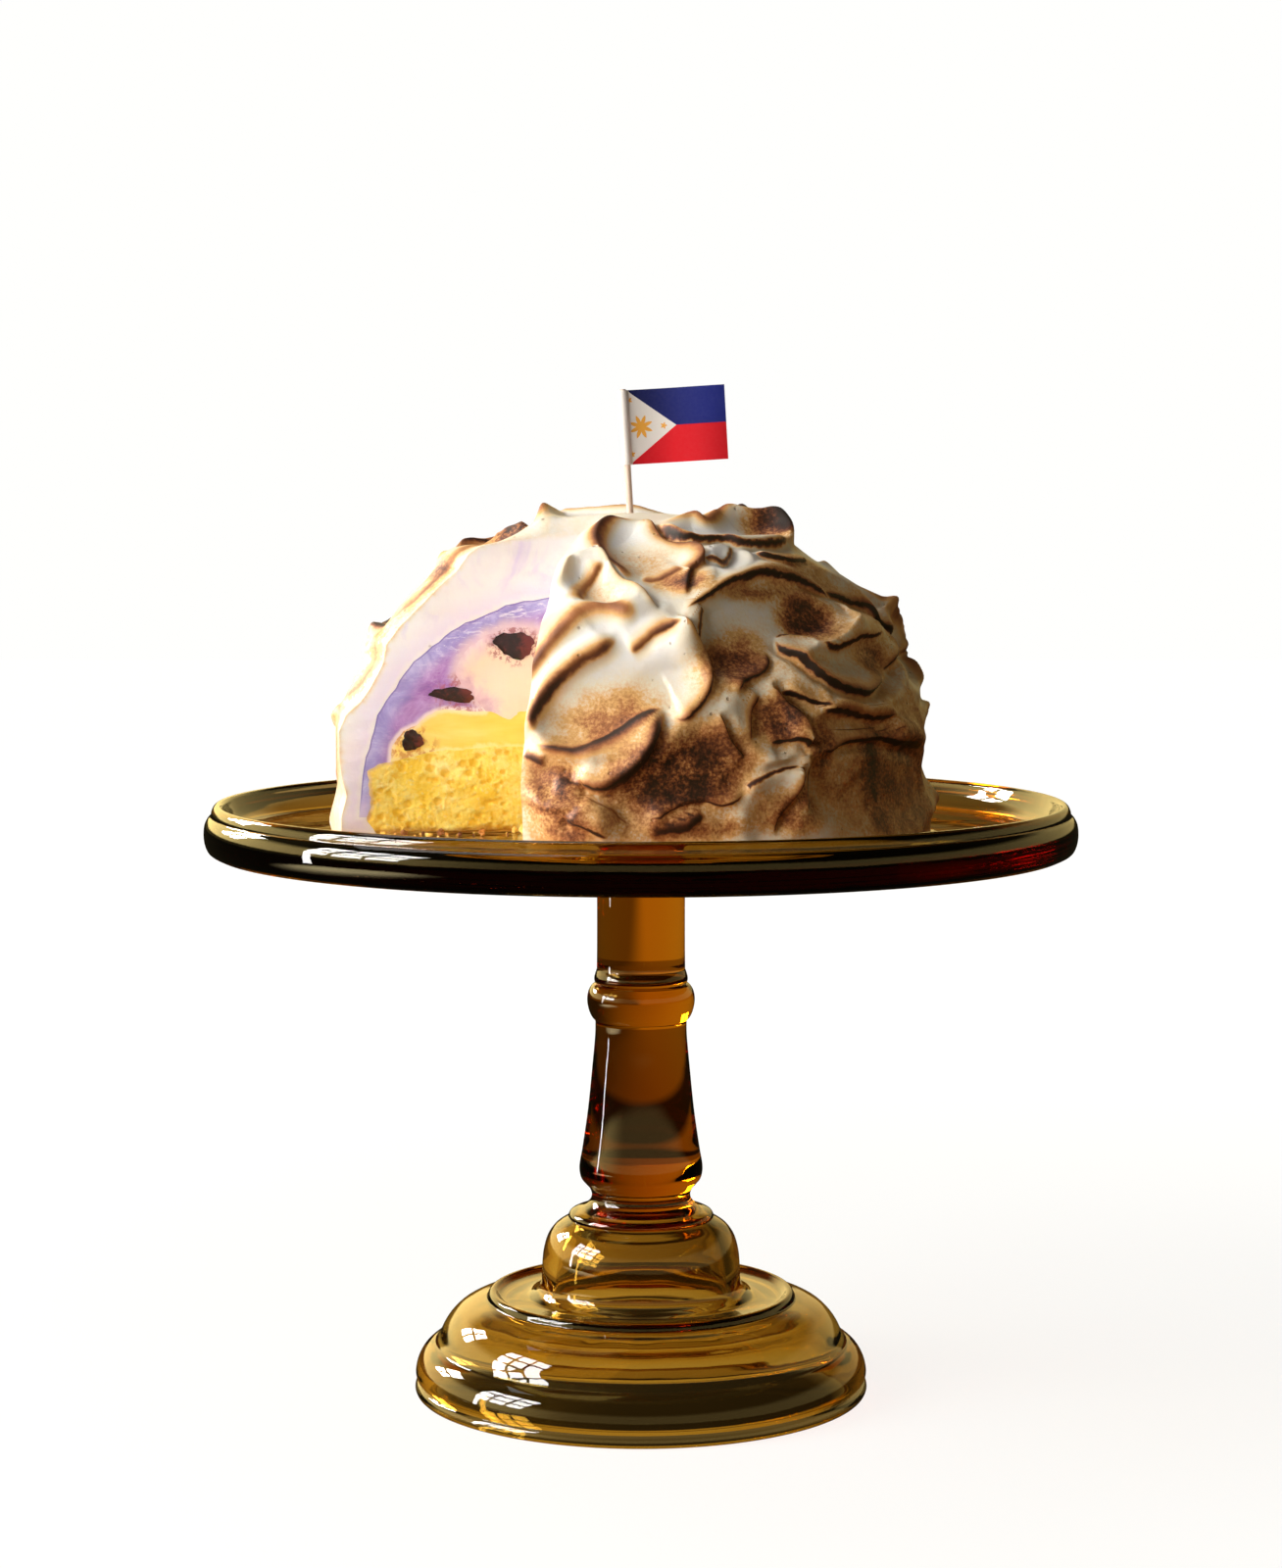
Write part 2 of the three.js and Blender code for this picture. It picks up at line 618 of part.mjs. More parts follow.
const pick = makeMesh('flag_pick', pickGeometry(PICK_RADIUS), 'wood');
const paper = makeMesh('flag_paper', paperGeometry(), 'paper');
paper.position.z = PICK_LENGTH - FLAG_HEIGHT - 0.4;
flag.add(pick, paper);

const slice = sliceSolid();
const pickHole = toSolid(pickGeometry(PICK_RADIUS + GAP).applyMatrix4(flag.matrix));
const cherryRoom = CHERRIES.map((cherry) => cherrySolid(cherry, GAP));

function layerMesh(name, profile, material) {
  let solid = toSolid(turned(profile, LAYER_SIDES)).subtract(slice);
  for (const room of cherryRoom) solid = solid.subtract(room);
  return makeMesh(name, toGeometry(solid), material);
}

const cake = new THREE.Group();
cake.position.set(CAKE_X, 0, PLATE_TOP);

const meringueSolid = toSolid(meringueDome().translate(0, 0, GAP))
  .subtract(toSolid(turned(cavityProfile(), LAYER_SIDES)))
  .subtract(slice)
  .subtract(pickHole);

cake.add(
  makeMesh('meringue', toGeometry(meringueSolid), 'meringue'),
  layerMesh('ube_ice_cream', ubeProfile(), 'ube'),
  layerMesh('coconut_ice_cream', COCONUT_PROFILE, 'coconut'),
  layerMesh('mango_layer', MANGO_PROFILE, 'mango'),
  layerMesh('sponge_cake', SPONGE_PROFILE, 'sponge'),
  flag,
);

CHERRIES.forEach((cherry, i) => {
  const halved = cherrySolid(cherry, 0).subtract(slice);
  cake.add(makeMesh(`cherry_${i + 1}`, toGeometry(halved), 'cherry'));
});

const bakedAlaska = new THREE.Group();
bakedAlaska.add(stand, cake);

export default bakedAlaska;
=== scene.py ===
# %% [markdown]
# # A baked alaska on its glass cake stand
# The dessert is an ice cream dome under torched meringue, with one slice cut out so that the
# layers show. It stands on a tall footed stand of amber glass, with a paper flag in the top.
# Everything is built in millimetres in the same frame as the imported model, then turned into
# metres when a mesh is made. The stand's foot is centred on the origin, the slice opens
# towards the front left.

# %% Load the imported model
import math

import bpy
import numpy as np
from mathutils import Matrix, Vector
from mathutils.geometry import delaunay_2d_cdt


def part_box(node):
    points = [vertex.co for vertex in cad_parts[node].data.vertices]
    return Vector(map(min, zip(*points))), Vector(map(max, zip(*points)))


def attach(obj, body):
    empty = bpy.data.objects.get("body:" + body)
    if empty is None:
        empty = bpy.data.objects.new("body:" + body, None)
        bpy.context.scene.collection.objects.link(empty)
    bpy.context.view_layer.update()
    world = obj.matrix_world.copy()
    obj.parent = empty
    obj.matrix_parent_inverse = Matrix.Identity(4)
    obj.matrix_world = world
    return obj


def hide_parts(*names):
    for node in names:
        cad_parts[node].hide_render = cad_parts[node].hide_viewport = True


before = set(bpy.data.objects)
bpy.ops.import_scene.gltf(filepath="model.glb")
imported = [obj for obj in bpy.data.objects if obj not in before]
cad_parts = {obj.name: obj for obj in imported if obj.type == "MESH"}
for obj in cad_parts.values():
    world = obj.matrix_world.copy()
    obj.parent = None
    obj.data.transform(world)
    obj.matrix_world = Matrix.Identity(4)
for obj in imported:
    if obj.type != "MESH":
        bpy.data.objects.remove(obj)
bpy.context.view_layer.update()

# %% [markdown]
# ## Sizes
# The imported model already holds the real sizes, so the main ones are read from its boxes. What
# a box can't tell, such as where the knife went in, is a named value here.

# %% Sizes in millimetres
MM = 0.001


def node_box(name):
    low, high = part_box(name)
    return np.array(low) / MM, np.array(high) / MM


_, stand_high = node_box("cake_stand")
sponge_low, _ = node_box("sponge_cake")

PLATE_RADIUS = stand_high[0]
RIM_TOP = stand_high[2]
PLATE_TOP = 200.0
GAP = sponge_low[2] - PLATE_TOP
CAKE_X = -3.3
DOME_RADIUS = 104.0
DOME_HEIGHT = 110.0
DOME_POWER = 2.5
UBE_RADIUS = 97.2
UBE_HEIGHT = 83.5
SLICE_LEFT = -74.0
SLICE_RIGHT = -19.5
print("plate", PLATE_RADIUS, "rim top", RIM_TOP, "gap", GAP)

# %% [markdown]
# ## Camera
# The camera looks from the front, a little above the plate, so the plate is a thin ellipse and
# the top of the cake is almost at eye level. The lens is long, as for a portrait of food.

# %% Camera
scene = bpy.context.scene
CAMERA_AWAY = 1163.6
CAMERA_HEIGHT = 309.9
CAMERA_TILT = 4.62
LENS = 76.33

camera_data = bpy.data.cameras.new("camera")
camera_data.lens = LENS
camera_data.sensor_width = 36.0
camera = bpy.data.objects.new("camera", camera_data)
camera.location = (0, -CAMERA_AWAY * MM, CAMERA_HEIGHT * MM)
camera.rotation_euler = (math.radians(90 - CAMERA_TILT), 0, 0)
scene.collection.objects.link(camera)
scene.camera = camera
print("camera at", tuple(camera.location))

# %% [markdown]
# ## Small helpers for node trees
# The sky, the materials and the crumbs are node trees, wired in Python. `put` adds a node and
# fills or links its inputs. A `Wire` is a value on its way through a tree: arithmetic on it
# adds Math nodes, so a formula in a material reads like a formula.

# %% Node helpers
def feed(socket, value):
    """Links an input to a wire or an output, or sets it to a plain value."""
    if isinstance(value, Wire):
        value = value.socket
    if isinstance(value, bpy.types.NodeSocket):
        socket.id_data.links.new(value, socket)
    elif socket.type == "RGBA" and len(value) == 3:
        socket.default_value = (*value, 1)
    else:
        socket.default_value = value


def put(tree, kind, inputs=None, **settings):
    made = tree.nodes.new(kind)
    for key, value in settings.items():
        setattr(made, key, value)
    for key, value in (inputs or {}).items():
        feed(made.inputs[key], value)
    return made


def wire(tree, kind, output, inputs=None, **settings):
    """Adds a node and hands on one of its outputs."""
    return Wire(put(tree, kind, inputs, **settings).outputs[output])


class Wire:
    """An output in a node tree. Arithmetic on it adds Math nodes to that tree."""

    def __init__(self, socket):
        self.socket = socket
        self.tree = socket.id_data

    def math(self, operation, *others, clamp=False):
        inputs = dict(enumerate((self, *others)))
        return wire(self.tree, "ShaderNodeMath", 0, inputs, operation=operation, use_clamp=clamp)

    def __add__(self, other):
        return self.math("ADD", other)

    def __sub__(self, other):
        return self.math("SUBTRACT", other)

    def __mul__(self, other):
        return self.math("MULTIPLY", other)

    def __truediv__(self, other):
        return self.math("DIVIDE", other)

    def between(self, low, high, to_low=0.0, to_high=1.0):
        """A smooth step from one number to another, while this value goes from low to high."""
        return wire(self.tree, "ShaderNodeMapRange", "Result", {
            "Value": self, "From Min": low, "From Max": high, "To Min": to_low, "To Max": to_high,
        }, interpolation_type="SMOOTHSTEP")


def by_ray(tree, shader, instead):
    """Shows other shaders to some kinds of ray. A later one goes over an earlier one."""
    rays = put(tree, "ShaderNodeLightPath").outputs
    seen = shader.outputs[0]
    for ray_kind, other in instead.items():
        mixed = put(tree, "ShaderNodeMixShader", {0: rays[ray_kind], 1: seen, 2: other.outputs[0]})
        seen = mixed.outputs[0]
    return seen


# %% [markdown]
# ## Studio
# A wide soft light from the left, like a window, leaves the right third of the cake in shade.
# Rows of small panes make the window's highlights in the glass, and light nothing else. The
# camera sees a plain white room. Light Path nodes give the other rays less: the food gets
# little light from the room, so its shaded side stays dark, and what shines through the glass
# or mirrors in it comes from a darker, uneven room, which gives the glass its deep edges.

# %% Floor and lights
FLOOR_HALF = 6.0
ROOM_WHITE = (1.0, 1.0, 0.985)
scene.view_settings.view_transform = "Standard"

floor_mesh = bpy.data.meshes.new("floor")
floor_mesh.from_pydata(
    [(x * FLOOR_HALF, y * FLOOR_HALF, 0) for x, y in ((-1, -1), (1, -1), (1, 1), (-1, 1))],
    [], [(0, 1, 2, 3)])
floor = bpy.data.objects.new("floor", floor_mesh)
scene.collection.objects.link(floor)


def soft_light(name, place, aim, size, power, colour=(1, 1, 1)):
    data = bpy.data.lights.new(name, "AREA")
    data.shape = "RECTANGLE"
    data.size, data.size_y = size
    data.energy = power
    data.color = colour
    light = bpy.data.objects.new(name, data)
    light.location = place
    light.rotation_euler = (Vector(aim) - Vector(place)).to_track_quat("-Z", "Y").to_euler()
    scene.collection.objects.link(light)
    return light


def glint_panes(place, aim, pane, bar, columns, rows, power):
    """Small bright panes that only shine in highlights and through the glass."""
    turn = (Vector(aim) - Vector(place)).to_track_quat("-Z", "Y")
    share = power / (columns * rows)
    for column in range(columns):
        for row in range(rows):
            across = (column - (columns - 1) / 2) * (pane[0] + bar)
            up = (row - (rows - 1) / 2) * (pane[1] + bar)
            at = Vector(place) + turn @ Vector((across, up, 0))
            light = soft_light("window_pane", at, aim, pane, share, (1, 0.99, 0.97))
            light.rotation_euler = turn.to_euler()
            light.visible_diffuse = False


window = soft_light("window", (-1.25, -0.42, 0.85), (0, 0, 0.24), (0.8, 1.0), 24.0, (1, 0.985, 0.96))
soft_light("sky", (-0.5, 0.3, 1.5), (0, 0, 0.25), (0.9, 0.9), 3.6, (0.96, 0.98, 1))
fill = soft_light("fill", (-0.85, -1.1, 0.5), (-0.05, 0, 0.25), (0.6, 0.6), 7.5)
card = soft_light("card", (-0.42, -1.3, 0.42), (-0.072, -0.02, 0.248), (0.13, 0.13), 0.02)
card.data.spread = math.radians(6)
for hidden in (window, fill, card):
    hidden.visible_glossy = False
    hidden.visible_transmission = False
glint_panes((-1.3, -0.3, 0.72), (0, 0, 0.12), (0.24, 0.2), bar=0.05, columns=3, rows=3, power=30.0)
glint_panes((-1.0, 0.9, 0.66), (0, 0, 0.16), (0.16, 0.2), bar=0.05, columns=2, rows=2, power=12.0)
glint_panes((-1.2, -0.02, 0.34), (0, 0, 0.12), (0.07, 0.3), bar=0.04, columns=1, rows=2, power=2.4)
print("lights", len(bpy.data.lights))

# %% Room
world = bpy.data.worlds.new("studio")
scene.world = world
world.use_nodes = True
sky = world.node_tree
sky.nodes.clear()


def background(colour, strength):
    return put(sky, "ShaderNodeBackground", {"Color": colour, "Strength": strength})


direction = wire(sky, "ShaderNodeTexCoord", "Generated")
up = wire(sky, "ShaderNodeSeparateXYZ", "Z", {0: direction})
to_window = wire(sky, "ShaderNodeVectorMath", "Value", {0: direction, 1: (-0.87, 0.45, 0.2)},
                 operation="DOT_PRODUCT")
wall = to_window.between(-0.3, 0.95, 0.04, 0.7)
low_band = up.between(0.01, 0.06, 0.03, 1.0) * up.between(0.32, 0.5, 1.0, 0.03)
mirrored = low_band * to_window.between(0.1, 0.95, 0.7, 3.0)
room = by_ray(sky, background((1.0, 0.74, 0.26), mirrored), {
    "Is Transmission Ray": background((1.0, 0.92, 0.78), wall),
    "Is Diffuse Ray": background((0.92, 0.76, 0.66), 0.060),
    "Is Camera Ray": background(ROOM_WHITE, 1.0),
})
put(sky, "ShaderNodeOutputWorld", {"Surface": room})
print("room nodes", len(sky.nodes))

# %% [markdown]
# ## One class for every finish
# A material here always needs the same start: a Principled shader, its output and the piece's
# own coordinates. `Finish` makes those and has a short method for each step that follows, such
# as noise, a colour ramp, or a number that was stored on the mesh.

# %% Finish
class Finish:
    def __init__(self, name, **constants):
        self.material = bpy.data.materials.new(name)
        self.material.use_nodes = True
        self.tree = self.material.node_tree
        self.tree.nodes.clear()
        self.shader = put(self.tree, "ShaderNodeBsdfPrincipled")
        self.out = put(self.tree, "ShaderNodeOutputMaterial", {"Surface": self.shader.outputs["BSDF"]})
        for key, value in constants.items():
            self.shader.inputs[key.replace("_", " ")].default_value = value
        self.place = wire(self.tree, "ShaderNodeTexCoord", "Object")

    def stretched(self, scale, rotation=(0, 0, 0)):
        """Coordinates drawn out along an axis, for grain that runs one way."""
        return wire(self.tree, "ShaderNodeMapping", 0, {
            "Vector": self.place, "Rotation": rotation, "Scale": scale,
        })

    def noise(self, scale, detail=3.0, roughness=0.5, distortion=0.0, place=None):
        return wire(self.tree, "ShaderNodeTexNoise", "Fac", {
            "Vector": place or self.place, "Scale": scale, "Detail": detail,
            "Roughness": roughness, "Distortion": distortion,
        })

    def mark(self, name):
        """A number that was stored on the mesh's corners."""
        return wire(self.tree, "ShaderNodeAttribute", "Fac", attribute_name=name)

    def mix(self, factor, a, b):
        return wire(self.tree, "ShaderNodeMix", 2, {0: factor, 6: a, 7: b}, data_type="RGBA")

    def ramp(self, value, *stops):
        """Colours in turn, while the value goes from 0 to 1."""
        made = put(self.tree, "ShaderNodeValToRGB", {"Fac": value})
        elements = made.color_ramp.elements
        while len(elements) < len(stops):
            elements.new(0.5)
        for element, (place, colour) in zip(elements, stops):
            element.position = place
            element.color = (*colour, 1)
        return Wire(made.outputs["Color"])

    def bump(self, height, strength, distance, over=None, invert=False):
        """Fine relief from a height. It can lie over another relief."""
        inputs = {"Height": height, "Strength": strength, "Distance": distance}
        if over is not None:
            inputs["Normal"] = over
        return wire(self.tree, "ShaderNodeBump", "Normal", inputs, invert=invert)

    def done(self, colour, *relief):
        """Links the colour and the fine relief, and hands over the material."""
        feed(self.shader.inputs["Base Color"], colour)
        feed(self.shader.inputs["Normal"], self.bump(*relief))
        return self.material


# %% [markdown]
# ### Shared effects
# Three effects are used by several foods, so each is a node group with named inputs, built once:
# - cake place: how far a spot is from the cake's axis and how high above the plate, in
#   millimetres, because the layers are rings round that axis;
# - border bleed: a colour that runs into its neighbour's along a ragged border;
# - juice stain: a soft oval where cherry juice or syrup soaked in.

# %% Shared node groups
def new_group(name, inputs, outputs, colours=()):
    """An empty shader group. Its sockets carry numbers, apart from those named as colours."""
    group = bpy.data.node_groups.new(name, "ShaderNodeTree")
    for keys, way in ((inputs, "INPUT"), (outputs, "OUTPUT")):
        for key in keys:
            kind = "NodeSocketColor" if key in colours else "NodeSocketFloat"
            group.interface.new_socket(key, in_out=way, socket_type=kind)
    given = put(group, "NodeGroupInput").outputs
    return group, {key: Wire(given[key]) for key in inputs}, put(group, "NodeGroupOutput").inputs


def make_cake_place():
    group, given, result = new_group("cake_place", ["Axis X"], ["Radius", "Height"])
    place = wire(group, "ShaderNodeTexCoord", "Object")
    parts = put(group, "ShaderNodeSeparateXYZ", {"Vector": place}).outputs
    aside = Wire(parts["X"]) * (1 / MM) - given["Axis X"]
    depth = Wire(parts["Y"]) * (1 / MM)
    feed(result["Radius"], (aside * aside + depth * depth).math("SQRT"))
    feed(result["Height"], Wire(parts["Z"]) * (1 / MM) - PLATE_TOP)
    return group


def make_border_bleed():
    group, given, result = new_group(
        "border_bleed", ["Colour", "Neighbour", "Distance", "Uneven", "Start", "End", "Strength"], ["Mixed"],
        colours=("Colour", "Neighbour", "Mixed"))
    ragged = given["Distance"] + given["Uneven"]
    share = ragged.between(given["Start"], given["End"], given["Strength"], 0.0)
    feed(result["Mixed"], wire(group, "ShaderNodeMix", 2, {
        0: share, 6: given["Colour"], 7: given["Neighbour"],
    }, data_type="RGBA"))
    return group


def make_juice_stain():
    group, given, result = new_group(
        "juice_stain", ["Radius", "Height", "Out", "Up", "Reach", "Softness"], ["Mask"])
    across = (given["Radius"] - given["Out"]) / given["Reach"]
    upward = (given["Height"] - given["Up"]) / (given["Reach"] * 0.75)
    square = across * across + upward * upward
    feed(result["Mask"], square.between(1.0, given["Softness"], 1.0, 0.0))
    return group


CAKE_PLACE, BORDER_BLEED, JUICE_STAIN = make_cake_place(), make_border_bleed(), make_juice_stain()


def cake_place(tree):
    made = put(tree, "ShaderNodeGroup", {"Axis X": CAKE_X}, node_tree=CAKE_PLACE)
    return Wire(made.outputs["Radius"]), Wire(made.outputs["Height"])


def bleed(finish, colour, neighbour, distance, uneven, start, end, strength):
    return wire(finish.tree, "ShaderNodeGroup", "Mixed", {
        "Colour": colour, "Neighbour": neighbour, "Distance": distance, "Uneven": uneven,
        "Start": start, "End": end, "Strength": strength,
    }, node_tree=BORDER_BLEED)


def stain(finish, out, up, reach, softness):
    radius, height = cake_place(finish.tree)
    return wire(finish.tree, "ShaderNodeGroup", "Mask", {
        "Radius": radius, "Height": height, "Out": out, "Up": up, "Reach": reach, "Softness": softness,
    }, node_tree=JUICE_STAIN)


print("node groups", [group.name for group in bpy.data.node_groups])

# %% [markdown]
# ## Small helpers for shapes
# `turned` spins a profile into a closed mesh, and `new_piece` turns arrays of corners in
# millimetres into a smooth-shaded object in metres.

# %% Mesh helpers
SHARP_ANGLE = math.radians(62)


def new_piece(name, corners, faces, material, attributes=None):
    mesh = bpy.data.meshes.new(name)
    mesh.from_pydata((np.asarray(corners, float) * MM).tolist(), [], faces)
    mesh.shade_smooth()
    mesh.set_sharp_from_angle(angle=SHARP_ANGLE)
    mesh.materials.append(material)
    for key, values in (attributes or {}).items():
        layer = mesh.attributes.new(key, "FLOAT", "POINT")
        layer.data.foreach_set("value", np.asarray(values, np.float32))
    piece = bpy.data.objects.new(name, mesh)
    scene.collection.objects.link(piece)
    print(name, len(mesh.vertices), "corners", len(mesh.polygons), "faces")
    return piece


def smooth_path(points, steps=8):
    """A curve through all the points, as a Catmull-Rom spline."""
    points = np.asarray(points, float)
    ends = np.vstack([2 * points[0] - points[1], points, 2 * points[-1] - points[-2]])
    t = np.linspace(0, 1, steps, endpoint=False)[:, None]
    pieces = []
    for a, b, c, d in zip(ends, ends[1:], ends[2:], ends[3:]):
        pieces.append(0.5 * (2 * b + (c - a) * t + (2 * a - 5 * b + 4 * c - d) * t**2
                             + (3 * b - a - 3 * c + d) * t**3))
    return np.vstack([*pieces, points[-1:]])


def column_faces(columns, rows, closed):
    """Faces between columns of points that share one more point at the top and one below."""
    top, bottom = columns * rows, columns * rows + 1
    faces = []
    for column in range(columns if closed else columns - 1):
        here, there = column * rows, (column + 1) % columns * rows
        faces.append((top, here, there))
        faces += [(here + i, here + i + 1, there + i + 1, there + i) for i in range(rows - 1)]
        faces.append((here + rows - 1, bottom, there + rows - 1))
    return faces


def turned(profile, sides):
    """A closed mesh: the profile runs from the axis at the top, outward, down and back."""
    profile = np.asarray(profile, float)
    angles = np.linspace(0, 2 * np.pi, sides, endpoint=False)
    inner = profile[1:-1]
    rings = np.stack([
        inner[:, 0] * np.sin(angles)[:, None],
        -inner[:, 0] * np.cos(angles)[:, None],
        np.broadcast_to(inner[:, 1], (sides, len(inner))),
    ], -1)
    corners = np.vstack([rings.reshape(-1, 3), [[0, 0, profile[0, 1]], [0, 0, profile[-1, 1]]]])
    return corners, column_faces(sides, len(inner), closed=True)


# %% [markdown]
# ## Amber glass
# Pressed glass is solid, so its colour comes from how far light travels through it: pale gold
# in the thin plate and nearly black along the rim. A Volume Absorption node does exactly that,
# with a clear, smooth Principled surface round it. Light Path lets the lamps shine through
# the glass as amber light in place of a solid shadow.

# %% Glass material
def make_amber_glass():
    finish = Finish("amber_glass", Base_Color=(0.96, 0.86, 0.55, 1), Roughness=0.02, IOR=1.5,
                    Transmission_Weight=1.0, Specular_IOR_Level=0.5)
    ripple = finish.noise(28.0, 2.0)
    feed(finish.shader.inputs["Normal"], finish.bump(ripple, 0.25, 0.0012))
    clear = put(finish.tree, "ShaderNodeBsdfTransparent", {"Color": (0.80, 0.62, 0.20)})
    feed(finish.out.inputs["Surface"], by_ray(finish.tree, finish.shader, {"Is Shadow Ray": clear}))
    depth = put(finish.tree, "ShaderNodeVolumeAbsorption", {"Color": (0.935, 0.79, 0.28), "Density": 245.0})
    feed(finish.out.inputs["Volume"], depth.outputs[0])
    return finish.material


AMBER_GLASS = make_amber_glass()

# %% [markdown]
# ## The stand
# It was pressed and fire-polished in one piece, so it is one turned profile: rim, plate, stem
# with its beads, stepped foot, and the hollow under the foot. Short splines round each moulding
# and meet in the creases between them. Each row is one moulding, as radius and height.

# %% Turn the stand
STAND_SIDES = 192
MOULDINGS = {
    "plate floor": [(0, 200), (60, 200), (120, 200)],
    "plate wall": [(120, 200), (136, 200.1), (140.5, 201.2), (143.6, 203.6), (145.3, 207.2),
        (146, 209.2)],
    "rim lip": [(146, 209.2), (146.9, 209.9), (148, 210), (149.1, 209.2), (149.8, 207.6), (150, 206.2)],
    "rim band": [(150, 206.2), (151.2, 205.1), (152.2, 203), (152.5, 200), (152.2, 197), (151, 194.2),
        (148.5, 192.8)],
    "underside": [(148.5, 192.8), (120, 192.6), (60, 192.2), (26, 192), (20, 190.8), (17, 188.4),
        (15.7, 184), (15.5, 176), (15.5, 160), (15.6, 150.6)],
    "collar": [(15.6, 150.6), (16.1, 149.2), (16.5, 147.6), (16.4, 146.3), (16.1, 145.7)],
    "bead": [(16.1, 145.7), (17.4, 144.8), (18.6, 142.6), (19, 139.8), (18.6, 136.8), (17.6, 134.1),
        (16.1, 132.2)],
    "stem": [(16.1, 132.2), (16.2, 127), (17, 118), (18.7, 101), (20.7, 87), (21.6, 82), (21.8, 79),
        (21.2, 76.2), (19.8, 74.4), (18.2, 72.6), (17.4, 70.6)],
    "neck": [(17.4, 70.6), (17.6, 69), (18.4, 67.6), (20.2, 66), (22, 65.2)],
    "neck ring": [(22, 65.2), (23.6, 64.7), (25, 64), (25.7, 62.8), (25.6, 61.9)],
    "shoulder": [(25.6, 61.9), (28.5, 60.4), (31, 58.4), (33.2, 55), (34.5, 50.4), (35, 46), (35.2, 41),
        (35.8, 37.8), (37.6, 35.6)],
    "ledge": [(37.6, 35.6), (40, 34.4), (44, 34), (49, 34.3), (50.8, 35.2)],
    "ledge bead": [(50.8, 35.2), (51.7, 35.9), (52.9, 36), (54, 35.2), (54.6, 33.4)],
    "foot dome": [(54.6, 33.4), (57, 32.7), (60.5, 31.6), (64.6, 29.6), (67.8, 26.6), (70, 23.4),
        (71.6, 20), (73, 17.6)],
    "foot step": [(73, 17.6), (75, 16.7), (77.4, 14.6), (79.1, 11.6), (79.9, 8.5), (79.8, 6.4),
        (78.9, 4.6)],
    "foot ring": [(78.9, 4.6), (79.7, 3.8), (80.2, 2.2), (79.6, 0.7), (78.4, 0.1), (77, 0)],
    "sole": [(77, 0), (74.4, 0)],
    "hollow": [(74.4, 0), (73.6, 4), (71, 13), (66, 20.4), (60, 25), (50, 28.4), (40, 29.9), (33.5, 32),
        (30.4, 37), (29.4, 45), (27.4, 52.5), (22, 58.2), (12, 61), (0, 61.4)],
}
stand_profile = np.vstack(
    [smooth_path(part, 4)[:-1] for part in MOULDINGS.values()] + [MOULDINGS["hollow"][-1:]])
stand_profile[:, 0] = np.clip(stand_profile[:, 0], 0, PLATE_RADIUS)
stand_profile[:, 1] = np.clip(stand_profile[:, 1], 0, RIM_TOP)
stand = new_piece("glass_stand", *turned(stand_profile, STAND_SIDES), AMBER_GLASS)
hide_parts("cake_stand")
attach(stand, "root")

# %% [markdown]
# ## The meringue's swirls
# Each swirl is one swipe of a spatula: an oval bowl with a lip that curls up round it, except
# where the blade came in. The bowls are pressed into a plain dome one after another, so later
# ones lie over earlier ones, exactly as they were made. Thin curled folds then run between
# them. Sculpting by hand would also do, but a list can be read, moved and measured. Places are
# an azimuth in degrees, counted from the front, and a height above the plate in millimetres.

# %% Scoops
SCOOP_KEYS = ("at", "long", "wide", "turn", "depth", "lip", "open", "burn")
SCOOP_ROWS = [
    ((-128, 101), 34, 26, 0, -3, 2, 90, 1.0, {"soft": 1.4}),
    ((-98, 103), 60, 40, 8, 4, 3, 0, 0.5, {"soft": 1.4}),
    ((-90, 82), 58, 44, 55, 3, 2.5, 0, 0.3, {"soft": 1.4}),
    ((-92, 56), 50, 36, 60, 5, 2, 20, 0.4, {"soft": 1.4}),
    ((-90, 22), 56, 38, 10, 1, 3, 0, 0.2, {"soft": 1.4}),
    ((56, 18), 92, 42, -4, 5, 1, -90, 0.1, {}),
    ((8.6, 22), 66, 46, 14, 4.5, 0.8, 140, 0.1, {}),
    ((-13, 15), 36, 24, -39, -3, 0.5, 200, 0.1, {"level": 1}),
    ((14, 8), 50, 18, 6, 3, 1, -90, 0.1, {}),
    ((27, 17), 40, 22, 62, 3.5, 0.8, -120, 0.1, {"tip": 1.1}),
    ((48, 37), 50, 19, 0, 3, 0.8, -90, 0.1, {}),
    ((26, 44), 30, 26, -52, 4, 1, 140, 0.1, {"tip": 0.9}),
    ((86, 62), 40, 28, 20, 3, 4, 180, 0.6, {}),
    ((88, 24), 50, 34, 10, 3, 4, 180, 0.6, {}),
    ((55, 84), 60, 26, -8, 3, 1.5, 180, 0.1, {}),
    ((33, 72), 76, 44, 19, 7.5, 0.8, -95, 0.1, {}),
    ((53, 62), 68, 30, -3, 5.5, 1.2, 80, 0.1, {"tail": 1.1, "level": 1.5}),
    ((72, 104), 34, 30, 0, -6.2, 0.5, 0, 0.3, {}),
    ((40, 104), 58, 26, 0, 4, 1, 180, 0.1, {"level": 2}),
    ((30, 96), 20, 14, 61, 2, 0.6, 90, 0.1, {}),
    ((-8, 86), 30, 22, -56, 5, 1, -40, 0.1, {}),
    ((4, 96), 50, 40, -70, 6, 1, -50, 0.1, {"level": 1}),
    ((-5.2, 33), 56, 26, 19, 2.5, 1, 100, 0.1, {"tip": 1.1, "level": 2}),
    ((-7, 60), 62, 46, 18, 3, 1, -60, 0.1, {}),
    ((-1.5, 54), 60, 37, 20, 7.5, 1.5, 50, 0.1, {"closed": 5}),
]
FRONT_SCOOPS = [{**dict(zip(SCOOP_KEYS, row)), **row[-1]} for row in SCOOP_ROWS]
BACK_ROWS = [(18, 5, 66, 38), (50, 5, 64, 40), (80, 4, 58, 38), (102, 3, 50, 34)]
BACK_FROM, BACK_TO = 108, 244
BACK_DEPTH, BACK_LIP = 6, 5


def draw(index, salt):
    """A repeatable draw between 0 and 1."""
    wave = math.sin(index * 12.9898 + salt * 78.233) * 43758.5453
    return wave - math.floor(wave)


def lerp(a, b, share):
    return a + (b - a) * share


def drawn(index, salt, low, high):
    return lerp(low, high, draw(index, salt))


